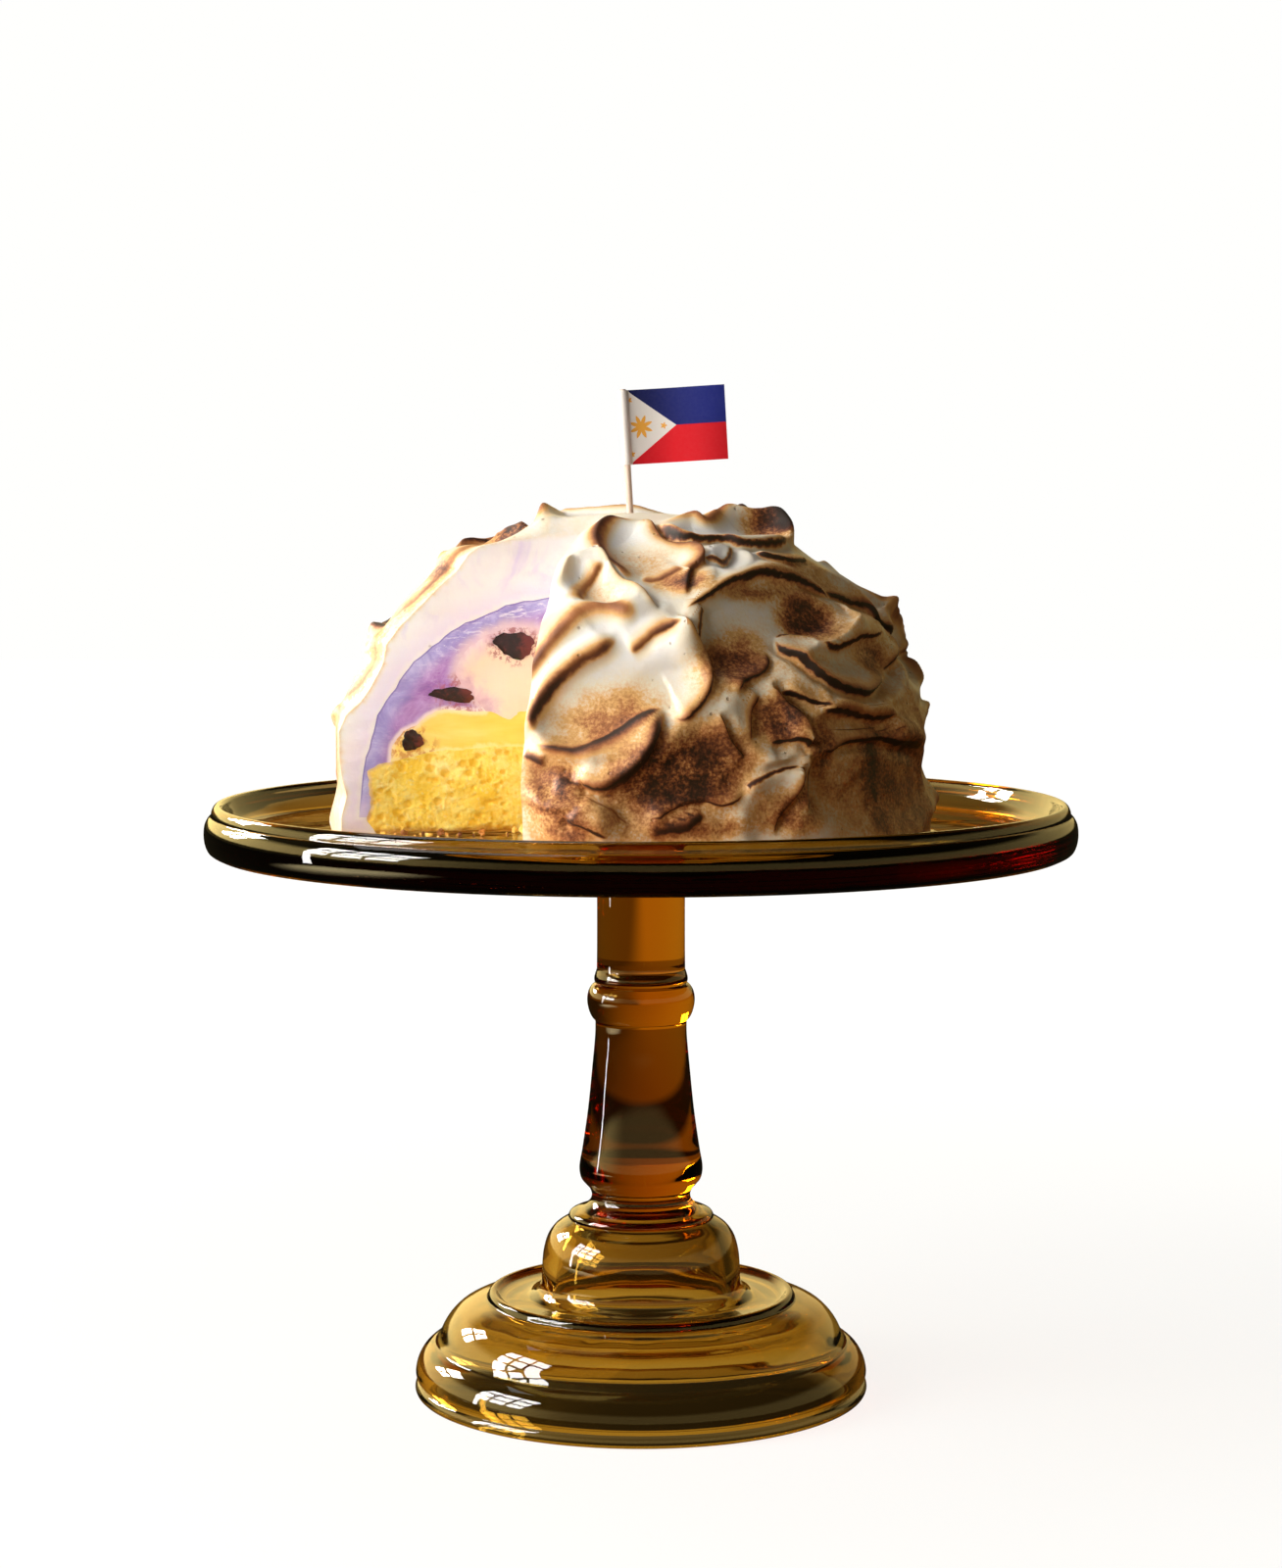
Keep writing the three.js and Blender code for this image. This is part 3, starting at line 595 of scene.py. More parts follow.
def back_scoops():
    """Rows of scoops on the side that is turned away: height, count, length and width."""
    scoops = []
    for height, count, long, wide in BACK_ROWS:
        pitch = (BACK_TO - BACK_FROM) / (count - 1)
        for i in range(count):
            seed = len(scoops) + 1
            at = (BACK_FROM + pitch * i + 10 * (draw(seed, 1) - 0.5), height + 8 * (draw(seed, 2) - 0.5))
            scoops.append({
                "at": at, "long": long * drawn(seed, 3, 0.85, 1.15), "wide": wide * drawn(seed, 4, 0.8, 1.1),
                "turn": drawn(seed, 5, -45, 45), "depth": BACK_DEPTH * drawn(seed, 6, 0.6, 1.2),
                "lip": BACK_LIP * drawn(seed, 7, 0.7, 1.2), "open": 360 * draw(seed, 8), "soft": 1.2,
            })
    return scoops


BACK_SCOOPS = back_scoops()
SCOOPS = BACK_SCOOPS + FRONT_SCOOPS
print(len(SCOOPS), "scoops")

# %% [markdown]
# ### Folds
# A fold is a thin edge that the spatula pulled up along a line. Its side says which side of the
# line is raised: 1 is the left, -1 the right, and 0 raises a soft ridge on the line itself.

# %% Folds
# The seventh value darkens a thin line along the fold's step: charring on thin crests, and painted shade in
# the deeper creases, such as the slashes and the folds on the right third.
FOLD_KEYS = ("name", "side", "lift", "gentle", "groove", "brown", "char_and_shade", "path")
FOLD_ROWS = [
    ("left upper petal", 1, 2.4, 6, 0.8, 0.5, 0.25, [(-88, 104), (-81, 98), (-79, 90), (-80, 81),
     (-84, 72)]),
    ("left middle petal", 1, 2.0, 5, 0.8, 0.5, 0.15, [(-84, 72), (-79, 66), (-78, 58), (-80, 50),
     (-86, 44)]),
    ("left lower petal", 1, 1.8, 5, 0.6, 0.45, 0.1, [(-86, 46), (-80, 40), (-78, 31), (-80, 22),
     (-86, 16)]),
    ("bowl outer arc", 0, 2.6, 3, 0, 0.75, 0, [(-20.5, 51.1), (-19.4, 60.4), (-16.8, 67.7),
     (-13.9, 72.9), (-10.7, 77), (-6.8, 78.9), (-3.5, 78.6), (-0.9, 77.1), (1.8, 75)]),
    ("bowl tongue", 1, 3.6, 7, 0, 1, 0.3, [(-2.6, 71), (-4.8, 67.8), (-8, 64.7), (-10.5, 62.2),
     (-13.2, 58), (-15.5, 53.3), (-16.9, 48.6), (-17.6, 44), (-16.4, 39.5)]),
    ("bowl right edge", 1, 4.5, 9, 1.5, 0.6, 0.9, [(9.7, 77.8), (12.1, 73.9), (13.8, 69.8), (15.2, 65.7),
     (15.6, 61.5), (15.1, 56.9), (13.9, 52.3), (11.5, 47.7), (9.5, 45.2), (6.8, 45.9)]),
    ("bowl curl", -1, 2.4, 4, 0, 0.8, 0.3, [(-0.5, 66.6), (1.8, 68.4), (4.3, 71.2), (7.1, 72.4),
     (11.3, 73.7)]),
    ("petal upper edge", 1, 3.6, 4, 0, 1, 0.35, [(-18, 36.7), (-13.9, 35.9), (-9.7, 35.5), (-7, 36.9),
     (-4.3, 38.9), (-1.6, 41.7), (1.2, 45.1), (4, 47.4), (6.8, 48.8)]),
    ("petal lower edge", 1, 6, 6, 2.5, 0.9, 1, [(6.8, 48.8), (5, 42.7), (3.6, 37), (2, 31.8),
     (-0.2, 27.5), (-2.9, 24.6), (-5.5, 23.1), (-8.2, 24), (-11.2, 25.3)]),
    ("small left fold", -1, 2, 4, 0, 0.8, 0.2, [(-19.6, 32.3), (-17.7, 31.3), (-15.3, 29.5)]),
    ("lump tip", 1, 2.2, 4, 0.5, 0.8, 0.8, [(-13.5, 25.5), (-11, 24.4), (-8.1, 23.8)]),
    ("white band", 1, 2.6, 5, 0.5, 0.1, 0.5, [(-8.7, 21.4), (-6.6, 19.3), (-4.4, 15.5), (-2.3, 12.6),
     (1.1, 9.2)]),
    ("low crevice", -1, 2.8, 5, 2, 0.5, 1, [(-11.4, 13.7), (-10, 11.8), (-8.1, 10.3), (-6.3, 8.8),
     (-4.2, 6.6)]),
    ("patch lower rim", -1, 4.2, 5, 1.5, 0.3, 0.9, [(2.5, 11.2), (5.1, 12.1), (6.7, 14), (9.2, 16.4),
     (11.9, 17.7), (14.1, 17.6), (16.6, 16.1), (19.7, 17.4), (22.1, 21.7)]),
    ("lens lower rim", -1, 3, 3, 1, 1, 0.4, [(2.9, 6.6), (6.5, 8.7), (9.7, 9.1), (11.8, 11.5),
     (13.5, 13.6)]),
    ("flame upper edge", 1, 2.8, 6, 0.8, 0.2, 0.9, [(21.4, 19.6), (22.4, 22.2), (24.7, 24.7),
     (27.4, 26.6), (30.2, 28), (32, 28.4)]),
    ("flame right edge", 1, 5, 7, 2, 0.7, 1.1, [(32, 28.4), (32.2, 26.1), (31.8, 22.1), (30.6, 18.5),
     (28.5, 14.4), (27.1, 10.8), (26.7, 5.6)]),
    ("left slash", 1, 2.4, 6, 3, 0.5, 1.3, [(16.9, 45.8), (18.5, 39.5), (20.5, 34.8), (21.9, 32.4)]),
    ("patch left edge", 1, 3, 5, 1.5, 0.6, 1.1, [(26, 52.2), (23.9, 48.1), (23.2, 43), (22.9, 37)]),
    ("black slash", 1, 3.2, 4, 5, 0.8, 1.5, [(28.2, 55.2), (30.4, 49.9), (32.9, 45.1), (34.6, 39.7),
     (34.9, 34.1)]),
    ("thin line", -1, 1.6, 4, 0.5, 0.4, 1.3, [(30.8, 53), (33.4, 51), (36.1, 49.1), (40.9, 45.6)]),
    ("pointed fold", -1, 3.2, 4, 2.5, 0.5, 1.4, [(26.5, 36.6), (30, 37.4), (32.8, 36.7), (35.4, 34.1)]),
    ("level fold", -1, 3.4, 6, 2, 0.6, 1.2, [(38.2, 44.2), (41.6, 44.3), (48.4, 43.5), (53.5, 42.3),
     (61.1, 41.3)]),
    ("lower bowl rim", -1, 5.4, 6, 2.5, 0.6, 1.6, [(36.3, 32.3), (40.3, 33), (43, 34.9), (45.8, 35.7),
     (49.7, 35.9), (55.3, 35.9), (61.5, 33.7), (70.1, 31.1), (76, 28.3)]),
    ("lower bowl wave", 1, 1.4, 5, 0, 0.2, 0.2, [(51.7, 30.9), (48.6, 24.8), (43.8, 20), (41.9, 14.4)]),
    ("lower bowl left edge", 1, 2.2, 5, 1, 0.4, 1.2, [(34.3, 31.6), (34.4, 26.1), (34.2, 19.8),
     (33.4, 13.3)]),
    ("long rim", -1, 3, 8, 1.5, 0.6, 1.2, [(12.3, 77), (15, 80.1), (18.2, 82.1), (21.6, 84.2),
     (26.5, 86.8), (31.7, 88.5), (35.8, 89.2), (41.8, 88.9), (48.4, 88), (53.5, 86.3), (57.8, 84),
     (61, 81.8)]),
    ("hook", -1, 3.2, 4, 0, 0.15, 0.1, [(59.6, 83.5), (61.6, 80.1), (59.4, 76.3), (55.2, 72.2),
     (50.2, 68.9), (45.2, 67.4), (41.5, 68.6)]),
    ("inner crease", 1, 2.2, 4, 0.8, 0.2, 0.8, [(17.2, 79.6), (15.9, 76), (14.7, 69.4)]),
    ("bowl foot fold", 1, 3.6, 6, 1.5, 0.7, 1.1, [(31.2, 67.9), (29.7, 62.7), (27.3, 59.7), (24.2, 57.7),
     (22.3, 56.2), (20.5, 51.5)]),
    ("curl lower edge", -1, 5.2, 7, 2.5, 0.7, 1.5, [(34.5, 72.5), (35.2, 67.2), (37.5, 62.9),
     (39.8, 58.1), (43.4, 54.2), (47.6, 51.9), (52.8, 51), (60.4, 54.2), (67.1, 57.5)]),
    ("curl upper edge", 1, 2.6, 4, 0.5, 0.3, 1.0, [(34.5, 72.5), (39.7, 72.8), (42.9, 71.1),
     (44.7, 69.5)]),
    ("curl inner fold", -1, 2.2, 4, 0.5, 0.5, 1.1, [(42.8, 67.3), (46.8, 65.4), (51.7, 66.5),
     (58.2, 68.6), (63.9, 68.6), (72.7, 69.2)]),
    ("top lower edge", -1, 4, 5, 1.5, 0.4, 1, [(7.9, 105.6), (13.6, 103.7), (18.2, 101.6), (24.1, 101),
     (33.1, 101.3), (36.7, 100.4), (39.6, 99.4), (49.6, 99.2), (60, 99.4), (68, 100.5)]),
    ("top upper edge", 0, 4.0, 4, 0, 1, 0.2, [(9.9, 105.3), (35, 107), (40, 106), (64, 107), (90, 106.4),
     (88, 105), (78, 103.6), (70, 101.2), (67, 99.8)]),
    ("top scoop", -1, 2.6, 5, 1.2, 0.1, 0.8, [(21.1, 95.9), (24.4, 94.6), (27.3, 94.1), (30.9, 96.2),
     (35.9, 99.4)]),
    ("crescent", -1, 2.6, 4, 1, 0.3, 1.2, [(41, 96.7), (44.8, 95), (49.6, 93.3), (55.6, 93),
     (71.9, 95.1)]),
    ("first bowl right edge", 1, 3.6, 6, 0.8, 0.8, 0.5, [(0.5, 106.1), (7.7, 105.3), (12.4, 102.1),
     (17, 100), (20.5, 98.4), (21, 95.7), (18.9, 93.4), (16.4, 92.2), (14.6, 88.9), (13.3, 85.3),
     (12.6, 81.8)]),
    ("first bowl left edge", 0, 3.4, 3.6, 0, 1, 0.2, [(0.2, 108.5), (-8.1, 106.4), (-11.7, 104.3),
     (-12.3, 102.3), (-11.3, 100.1), (-9.7, 98.2), (-7.1, 95.7), (-2.6, 92.5), (0.6, 90)]),
    ("second fold", 1, 3, 5, 1, 0.35, 0.3, [(-11.2, 97.9), (-7.9, 94.7), (-4.1, 90.6), (-0.2, 86.9),
     (2.9, 83.8), (4.3, 81.2), (6.4, 78.1)]),
    ("small bowl left edge", 1, 2.4, 5, 0, 0.9, 0.1, [(-8, 93.1), (-9.9, 91), (-12.2, 87.4),
     (-12.4, 84.3), (-11.6, 81.5)]),
    ("cut edge ridge", 0, 1.6, 4, 0, 0.25, 0, [(-16.4, 94.2), (-17.1, 88.4), (-18, 83.5)]),
    ("first bowl streak", -1, 1.4, 4, 0, 0.6, 0, [(2.3, 91.1), (6.7, 90.6), (11.3, 92.1), (14.8, 93.1)]),
    ("long rim end", -1, 2.4, 5, 1.2, 0.7, 1.2, [(56.8, 85.8), (64.7, 82.9), (73.4, 79.6), (74.4, 75.1),
     (78.9, 69.7), (86.8, 65)]),
    ("curl right edge", 1, 2.2, 5, 1.2, 0.7, 1.3, [(70.5, 74.9), (71.8, 72), (75.6, 67.7), (75.7, 63.4),
     (70.5, 60), (66.2, 57.9)]),
    ("right contour", 1, 2.2, 5, 1.2, 0.6, 1.3, [(69, 52.9), (72.9, 46.2), (77, 37.7), (76.2, 28.9)]),
]
FOLDS = [dict(zip(FOLD_KEYS, row)) for row in FOLD_ROWS]
print(len(FOLDS), "folds on the front")

# %% [markdown]
# ### Places on the dome
# The plain dome is a superellipse turned round the cake's axis. A place on it is an azimuth,
# counted from the front, and a rise from the plate to the crown.

# %% Dome functions
def dome_place(azimuth, rise):
    """Positions, outward directions and heights on the plain dome, for arrays of angles."""
    c = np.maximum(np.cos(rise), 0) ** (2 / DOME_POWER)
    s = np.maximum(np.sin(rise), 0) ** (2 / DOME_POWER)
    out = np.stack([np.sin(azimuth), -np.cos(azimuth), 0 * azimuth], -1)
    up = np.array([0, 0, 1.0])
    position = out * (DOME_RADIUS * c)[..., None] + up * (DOME_HEIGHT * s)[..., None]
    normal = (out * (c ** (DOME_POWER - 1) / DOME_RADIUS)[..., None]
              + up * (s ** (DOME_POWER - 1) / DOME_HEIGHT)[..., None])
    return position, normal / np.linalg.norm(normal, axis=-1, keepdims=True)


def rise_at(height):
    return math.asin(min(1.0, height / DOME_HEIGHT) ** (DOME_POWER / 2))


def touching_frame(at, turn=0.0):
    azimuth = np.array(math.radians(at[0]))
    position, normal = dome_place(azimuth, np.array(rise_at(at[1])))
    sideways = np.array([math.cos(azimuth), math.sin(azimuth), 0])
    upward = np.cross(normal, sideways)
    c, s = math.cos(math.radians(turn)), math.sin(math.radians(turn))
    return position, normal, sideways * c + upward * s, upward * c - sideways * s


def smoothstep(low, high, x):
    t = np.clip((x - low) / (high - low), 0, 1)
    return t * t * (3 - 2 * t)


def wobble(x, y, seed):
    return (np.sin(0.11 * x + 1.7 * seed) + np.sin(0.17 * y + 0.9 * seed + 0.05 * x)
            + 0.6 * np.sin(0.27 * x - 0.21 * y + seed)) / 2.6


# %% [markdown]
# ### Pressing a scoop
# A scoop's outline is an oval in the plane that touches the dome at its centre. The distance
# to that outline says everything: inside, the surface goes down into the bowl, near it, it
# rises into the lip, and far from it nothing changes. The lip also leans outward a little, so
# that it overhangs and throws a thin shadow.

# %% Distances
def off_segment(q, a, b):
    """The share along a straight step that is nearest to each point, and the way off it."""
    step = b - a
    way = np.clip(((q - a) @ step) / (step @ step + 1e-9), 0, 1)
    return way, q - a - way[:, None] * step


def outline_distance(outline, q):
    """Distance to a closed outline, negative inside, and the direction out of it."""
    nearest = np.full(len(q), 1e9)
    inside = np.zeros(len(q), bool)
    away = np.zeros_like(q)
    for a, b in zip(outline, np.roll(outline, -1, 0)):
        _, off = off_segment(q, a, b)
        square = (off**2).sum(1)
        closer = square < nearest
        nearest[closer] = square[closer]
        away[closer] = off[closer]
        run, rise = b - a
        rise = rise if abs(rise) > 1e-12 else 1e-12
        crosses = (a[1] > q[:, 1]) != (b[1] > q[:, 1])
        inside ^= crosses & (q[:, 0] < a[0] + (q[:, 1] - a[1]) * run / rise)
    distance = np.sqrt(nearest)
    away /= np.maximum(distance, 1e-6)[:, None]
    away[inside] *= -1
    return np.where(inside, -distance, distance), away


# %% Pressing scoops
OUTLINE_STEPS = 18
LIP_INSIDE, LIP_OUTSIDE = 4.6, 2.3
SCORCH_INSIDE, SCORCH_OUTSIDE = 3.2, 1.7
LEAN, LEAN_WIDTH = 1.7, 3.4
RAGGED = 1.1
LEAST_COVER = 2.0
LEAST_FACING = 0.1


def scoop_outline(scoop):
    u = -np.cos(np.linspace(0, np.pi, OUTLINE_STEPS + 1))
    power = np.where(u > 0, scoop.get("tip", 0.5), scoop.get("tail", 0.5))
    half = scoop["wide"] / 2 * np.maximum(1 - u * u, 0) ** power
    lower = np.stack([u * scoop["long"] / 2, -half], 1)
    upper = np.stack([u * scoop["long"] / 2, half], 1)[1:-1][::-1]
    return np.vstack([lower, upper])


def press_scoops(position, normal):
    """Swell along the normal, sideways lean and browning of each place."""
    x, y, z = position.T
    swell = 0.9 * np.sin(0.06 * x + 1) * np.sin(0.05 * y + 2) + 0.7 * np.sin(0.09 * z + 0.03 * x)
    lean = np.zeros_like(position)
    brown = np.zeros(len(position))
    for index, scoop in enumerate(SCOOPS):
        centre, facing, along, across = touching_frame(scoop["at"], scoop["turn"])
        offset = position - centre
        reach = scoop["long"] * 0.62 + 12
        near = np.nonzero(((offset**2).sum(1) < reach**2) & (normal @ facing > LEAST_FACING))[0]
        x, y = offset[near] @ along, offset[near] @ across
        q = np.stack([x + RAGGED * wobble(x, y, index + 1), y + RAGGED * wobble(y, x, index + 5)], 1)
        edge, outward = outline_distance(scoop_outline(scoop), q)
        bearing = np.arctan2(q[:, 1] / scoop["wide"], q[:, 0] / scoop["long"])
        facing_open = (1 + np.cos(bearing - math.radians(scoop["open"]))) / 2
        openness = facing_open ** scoop.get("closed", 1.5)
        rim = (1 - openness) * (0.8 + 0.2 * np.sin(3 * bearing + index))
        rounding = np.where(edge < 0, LIP_INSIDE, LIP_OUTSIDE) * scoop.get("soft", 1.0)
        lip = rim * np.exp(-((edge / rounding) ** 2))
        middle = np.clip(-edge / (scoop["wide"] / 2), 0, 1)
        bowl = scoop.get("level", 0.0) - scoop["depth"] * (1 - (1 - middle) ** 2)
        blend = lerp(LIP_INSIDE / 2, scoop["wide"] * 0.45, openness)
        cover = smoothstep(0, blend, -edge)
        swell[near] = lerp(swell[near], bowl, cover) + scoop["lip"] * lip

        fresh = np.maximum(cover, lip)
        direction = outward[:, :1] * along + outward[:, 1:] * across
        push = LEAN * rim * np.exp(-((edge / LEAN_WIDTH) ** 2))
        lean[near] = lean[near] * (1 - fresh)[:, None] + direction * push[:, None]
        scorch_width = np.where(edge < 0, SCORCH_INSIDE, SCORCH_OUTSIDE)
        scorch = scoop.get("burn", 0.9) * rim * np.exp(-((edge / scorch_width) ** 2))
        brown[near] = brown[near] * (1 - fresh) + scorch
    return swell, lean, brown


# %% [markdown]
# ### Raising the folds
# A fold's raised side drops off in a short step at its line, with a groove below, and slopes
# away gently on the other side. On the back, each scoop gets a fold along part of its rim and
# one swipe beside it, from the same repeatable draws.

# %% Folds on the back
def onto_dome(place):
    """Azimuth and height, in degrees and millimetres, of the dome's skin below a place."""
    reach = math.hypot(place[0], place[1])
    share = (reach / DOME_RADIUS) ** DOME_POWER + (max(place[2], 0.0) / DOME_HEIGHT) ** DOME_POWER
    height = max(place[2], 0.0) / share ** (1 / DOME_POWER)
    return math.degrees(math.atan2(place[0], -place[1])) % 360, min(height, 0.995 * DOME_HEIGHT)


def local_path(at, turn, points):
    centre, _, along, across = touching_frame(at, turn)
    return [onto_dome(centre + along * x + across * y) for x, y in points]


def back_folds():
    folds = []
    for i, scoop in enumerate(BACK_SCOOPS):
        seed = 3 * i + 40
        azimuth, height = scoop["at"]
        first = scoop["open"] + drawn(seed, 1, 50, 90)
        bearings = np.radians(np.linspace(first, first + drawn(seed, 2, 150, 230), 8))
        long, wide = 0.46 * scoop["long"], 0.46 * scoop["wide"]
        rim = [(long * math.cos(b), wide * math.sin(b)) for b in bearings]
        folds.append({
            "side": 1 if draw(seed, 3) < 0.65 else -1, "lift": drawn(seed, 4, 1.8, 3.4), "gentle": 6,
            "groove": 0.8, "brown": drawn(seed, 5, 0.6, 1.0), "char_and_shade": drawn(seed, 6, 0.2, 0.9),
            "path": local_path(scoop["at"], scoop["turn"], rim),
        })
        half, bow = drawn(seed, 7, 14, 24), drawn(seed, 8, -9, 9)
        swipe = [(half * u, bow * (1 - u * u) + 2 * math.sin(4 * u + seed)) for u in np.linspace(-1, 1, 6)]
        beside = (azimuth + 14 * (draw(seed, 9) - 0.5), max(12, height - 0.42 * scoop["wide"]))
        folds.append({
            "side": 1 if draw(seed, 10) < 0.5 else -1, "lift": drawn(seed, 11, 1.8, 3.6), "gentle": 7,
            "groove": 1.0, "brown": drawn(seed, 12, 0.5, 1.0), "char_and_shade": drawn(seed, 13, 0.1, 0.8),
            "path": local_path(beside, drawn(seed, 14, -40, 40), swipe),
        })
    return folds


# %% Raising folds
LIFT_SHARE = 0.85
EDGE_HALF = 0.8
OVERHANG, OVERHANG_WIDTH, FULL_OVERHANG = 1.3, 2.6, 3.5
GROOVE_PLACE, GROOVE_WIDTH = -1.6, 2.4
END_FADE = 0.16
MARK_REACH = 6.0


def nearest_on_curve(curve, places, normals):
    """Distance, share of the length and right-hand direction for each place."""
    nearest = np.full(len(places), 1e9)
    along = np.zeros(len(places))
    right = np.zeros((len(places), 3))
    off_side = np.zeros(len(places))
    for k, (start, end) in enumerate(zip(curve, curve[1:])):
        way, off = off_segment(places, start, end)
        distance = np.linalg.norm(off, axis=1)
        closer = distance < nearest
        nearest[closer] = distance[closer]
        along[closer] = (k + way[closer]) / (len(curve) - 1)
        step = end - start
        side = np.cross(step / np.linalg.norm(step), normals[closer])
        right[closer] = side
        off_side[closer] = (side * off[closer]).sum(1)
    return nearest, along, right, np.where(off_side < 0, -1.0, 1.0)


def fold_step(fold, signed, fade):
    """How far a fold raises each place, and how far its thin edge hangs over."""
    step = smoothstep(-EDGE_HALF, EDGE_HALF, signed)
    up = step * np.exp(-((np.maximum(signed, 0) / (1.25 * fold["gentle"])) ** 1.05))
    down = (1 - step) * np.exp(-(((signed - GROOVE_PLACE) / GROOVE_WIDTH) ** 2))
    tip = OVERHANG * fade * step * np.exp(-((np.maximum(signed, 0) / OVERHANG_WIDTH) ** 2))
    raised = fade * (LIFT_SHARE * fold["lift"] * up - fold["groove"] * down)
    return raised, tip * min(1, fold["lift"] / FULL_OVERHANG)


def raise_folds(position, normal, swell, lean):
    """Adds the folds to the relief and gives the marks that the torch leaves on them, and painted shade
    along the deeper creases.
    """
    count = len(position)
    side, brown, char_and_shade = np.full(count, MARK_REACH), np.zeros(count), np.zeros(count)
    nearest, second = np.full(count, 1e9), np.full(count, 1e9)
    for fold in FOLDS + back_folds():
        curve = smooth_path([touching_frame(place)[0] for place in fold["path"]], 5)
        middle = (curve.max(0) + curve.min(0)) / 2
        reach = np.linalg.norm(curve - middle, axis=1).max() + 2.2 * max(fold["gentle"], 5)
        near = np.nonzero(((position - middle) ** 2).sum(1) < reach**2)[0]
        distance, along, right, hand = nearest_on_curve(curve, position[near], normal[near])
        fade = smoothstep(0, END_FADE, along) * smoothstep(1, 1 - END_FADE, along)
        fade *= (along >= 1e-6) & (along <= 1 - 1e-6)
        if fold["side"] == 0:
            signed = distance
            swell[near] += fold["lift"] * fade * np.exp(-((distance / fold["gentle"]) ** 1.25))
        else:
            signed = distance * hand * fold["side"]
            raised, tip = fold_step(fold, signed, fade)
            swell[near] += raised
            lean[near] -= right * (fold["side"] * tip)[:, None]

        shows = fade > 0
        closer = shows & (distance < nearest[near])
        behind = near[shows & ~closer]
        second[behind] = np.minimum(second[behind], distance[shows & ~closer])
        chosen = near[closer]
        second[chosen] = nearest[chosen]
        nearest[chosen] = distance[closer]
        window = (smoothstep(MARK_REACH, 0.6 * MARK_REACH, distance) * fade)[closer]
        side[chosen] = np.clip(signed[closer], -MARK_REACH, MARK_REACH)
        brown[chosen] = fold["brown"] * window
        char_and_shade[chosen] = fold["char_and_shade"] * window
    alone = np.maximum(smoothstep(0.0, 1.6, second - nearest), smoothstep(1.4, 0.5, nearest))
    return {"edge_side": side, "edge_brown": brown * alone, "edge_char_and_shade": char_and_shade * alone}


# %% [markdown]
# ### Torch marks and painted shade
# The flame browns more than the thin lips: it leaves round patches where it stood still. Each
# patch is an oval on the dome with a soft edge. The shader later breaks it into fine speckles.
# The broad patches over the right third, at azimuths 68 and 72, are partly painted shade: they
# darken the side turned away from the window as well as browning it. Each
# patch is an oval on the dome with a soft edge. The shader later breaks it into fine speckles.

# %% Torched patches
# The rows at azimuths 68 and 72, each about 90 mm long, are partly painted shade on the right third.
PATCHES = [
    (-4, 46, 42, 24, 14, 0.46), (9, 27, 52, 30, 14, 1.0), (3, 97, 26, 22, 0, 0.26),
    (-6, 85, 20, 13, -56, 0.24), (47, 78, 26, 22, 0, 1.0), (22, 64, 34, 22, 30, 0.68),
    (36, 86, 40, 8, 0, 0.5), (40, 58, 20, 8, -30, 0.4), (29, 44, 20, 18, 0, 0.8),
    (-13, 18, 26, 30, 20, 0.72), (-10, 7, 18, 10, -20, 0.6), (15, 9, 34, 9, 6, 0.55),
    (45, 20, 40, 26, 0, 0.45), (55, 12, 20, 30, 0, 0.7), (68, 20, 96, 62, 0, 0.66),
    (72, 70, 90, 60, 0, 0.3), (38, 50, 60, 56, 0, 0.3), (28, 74, 50, 30, 0, 0.14),
    (6, 13, 64, 24, 0, 0.5), (30, 14, 34, 18, 0, 0.55), (50, 88, 60, 18, 0, 0.42),
    (62, 62, 22, 16, 0, 0.75), (38, 33, 14, 24, 0, 0.7), (14, 88, 22, 12, 0, 0.55),
    (60, 93, 50, 16, 0, 0.5), (74, 103, 24, 20, 0, 0.85), (-128, 101, 26, 18, 0, 0.95),
    (-92, 80, 44, 44, 40, 0.3), (-95, 54, 40, 24, 60, 0.28), (-100, 30, 50, 50, 0, 0.26),
    (-88, 10, 30, 20, 0, 0.25), (-78, 88, 26, 24, 0, 0.28), (-79, 60, 22, 22, 0, 0.26),
    (-79, 33, 22, 26, 0, 0.24), (53, 24, 17, 40, 0, 0.95), (-84, 92, 20, 12, 30, 0.6),
    (-92, 48, 10, 8, 0, 0.6), (-94, 58, 124, 130, 0, 0.31), (180, 45, 330, 150, 0, 0.17),
]


def back_patches():
    patches = []
    for seed, scoop in enumerate(BACK_SCOOPS, 1):
        azimuth, height = scoop["at"]
        at = (azimuth + 12 * (draw(seed, 20) - 0.5), height + 14 * (draw(seed, 21) - 0.5))
        long, wide = scoop["long"] * drawn(seed, 22, 0.5, 1.1), scoop["wide"] * drawn(seed, 23, 0.4, 0.9)
        patches.append((*at, long, wide, drawn(seed, 24, -60, 60), 0.15 + 0.8 * draw(seed, 9) ** 1.4))
    return patches


def torch_marks(position, normal):
    marks = np.zeros(len(position))
    for azimuth, height, long, wide, turn, heat in PATCHES + back_patches():
        centre, facing, along, across = touching_frame((azimuth, height), turn)
        offset = position - centre
        x = offset @ along / (long / 2)
        y = offset @ across / (wide / 2)
        spread = np.exp(-((x * x + y * y) ** 1.3)) * (normal @ facing > LEAST_FACING)
        marks = np.maximum(marks, heat * spread)
    return marks


# %% [markdown]
# ## Closed rings with cut ends
# The meringue and every layer are rings round the axis that stop at the two knife cuts. One
# function builds them all: columns of points swept round the back, and a filled cap at each
# cut. The cap is filled with small triangles, so that crumb, drag marks and pits on the cut
# are real relief.

# %% Filling a cut
KNIFE_WAVE = 0.35


def knife_wave(r, h):
    """The cut face is never quite flat: gentle waves, none at the cake's axis."""
    waves = np.sin(0.13 * r + 0.07 * h) + np.sin(0.05 * r - 0.16 * h + 1)
    return KNIFE_WAVE * smoothstep(0, 20, r) * waves


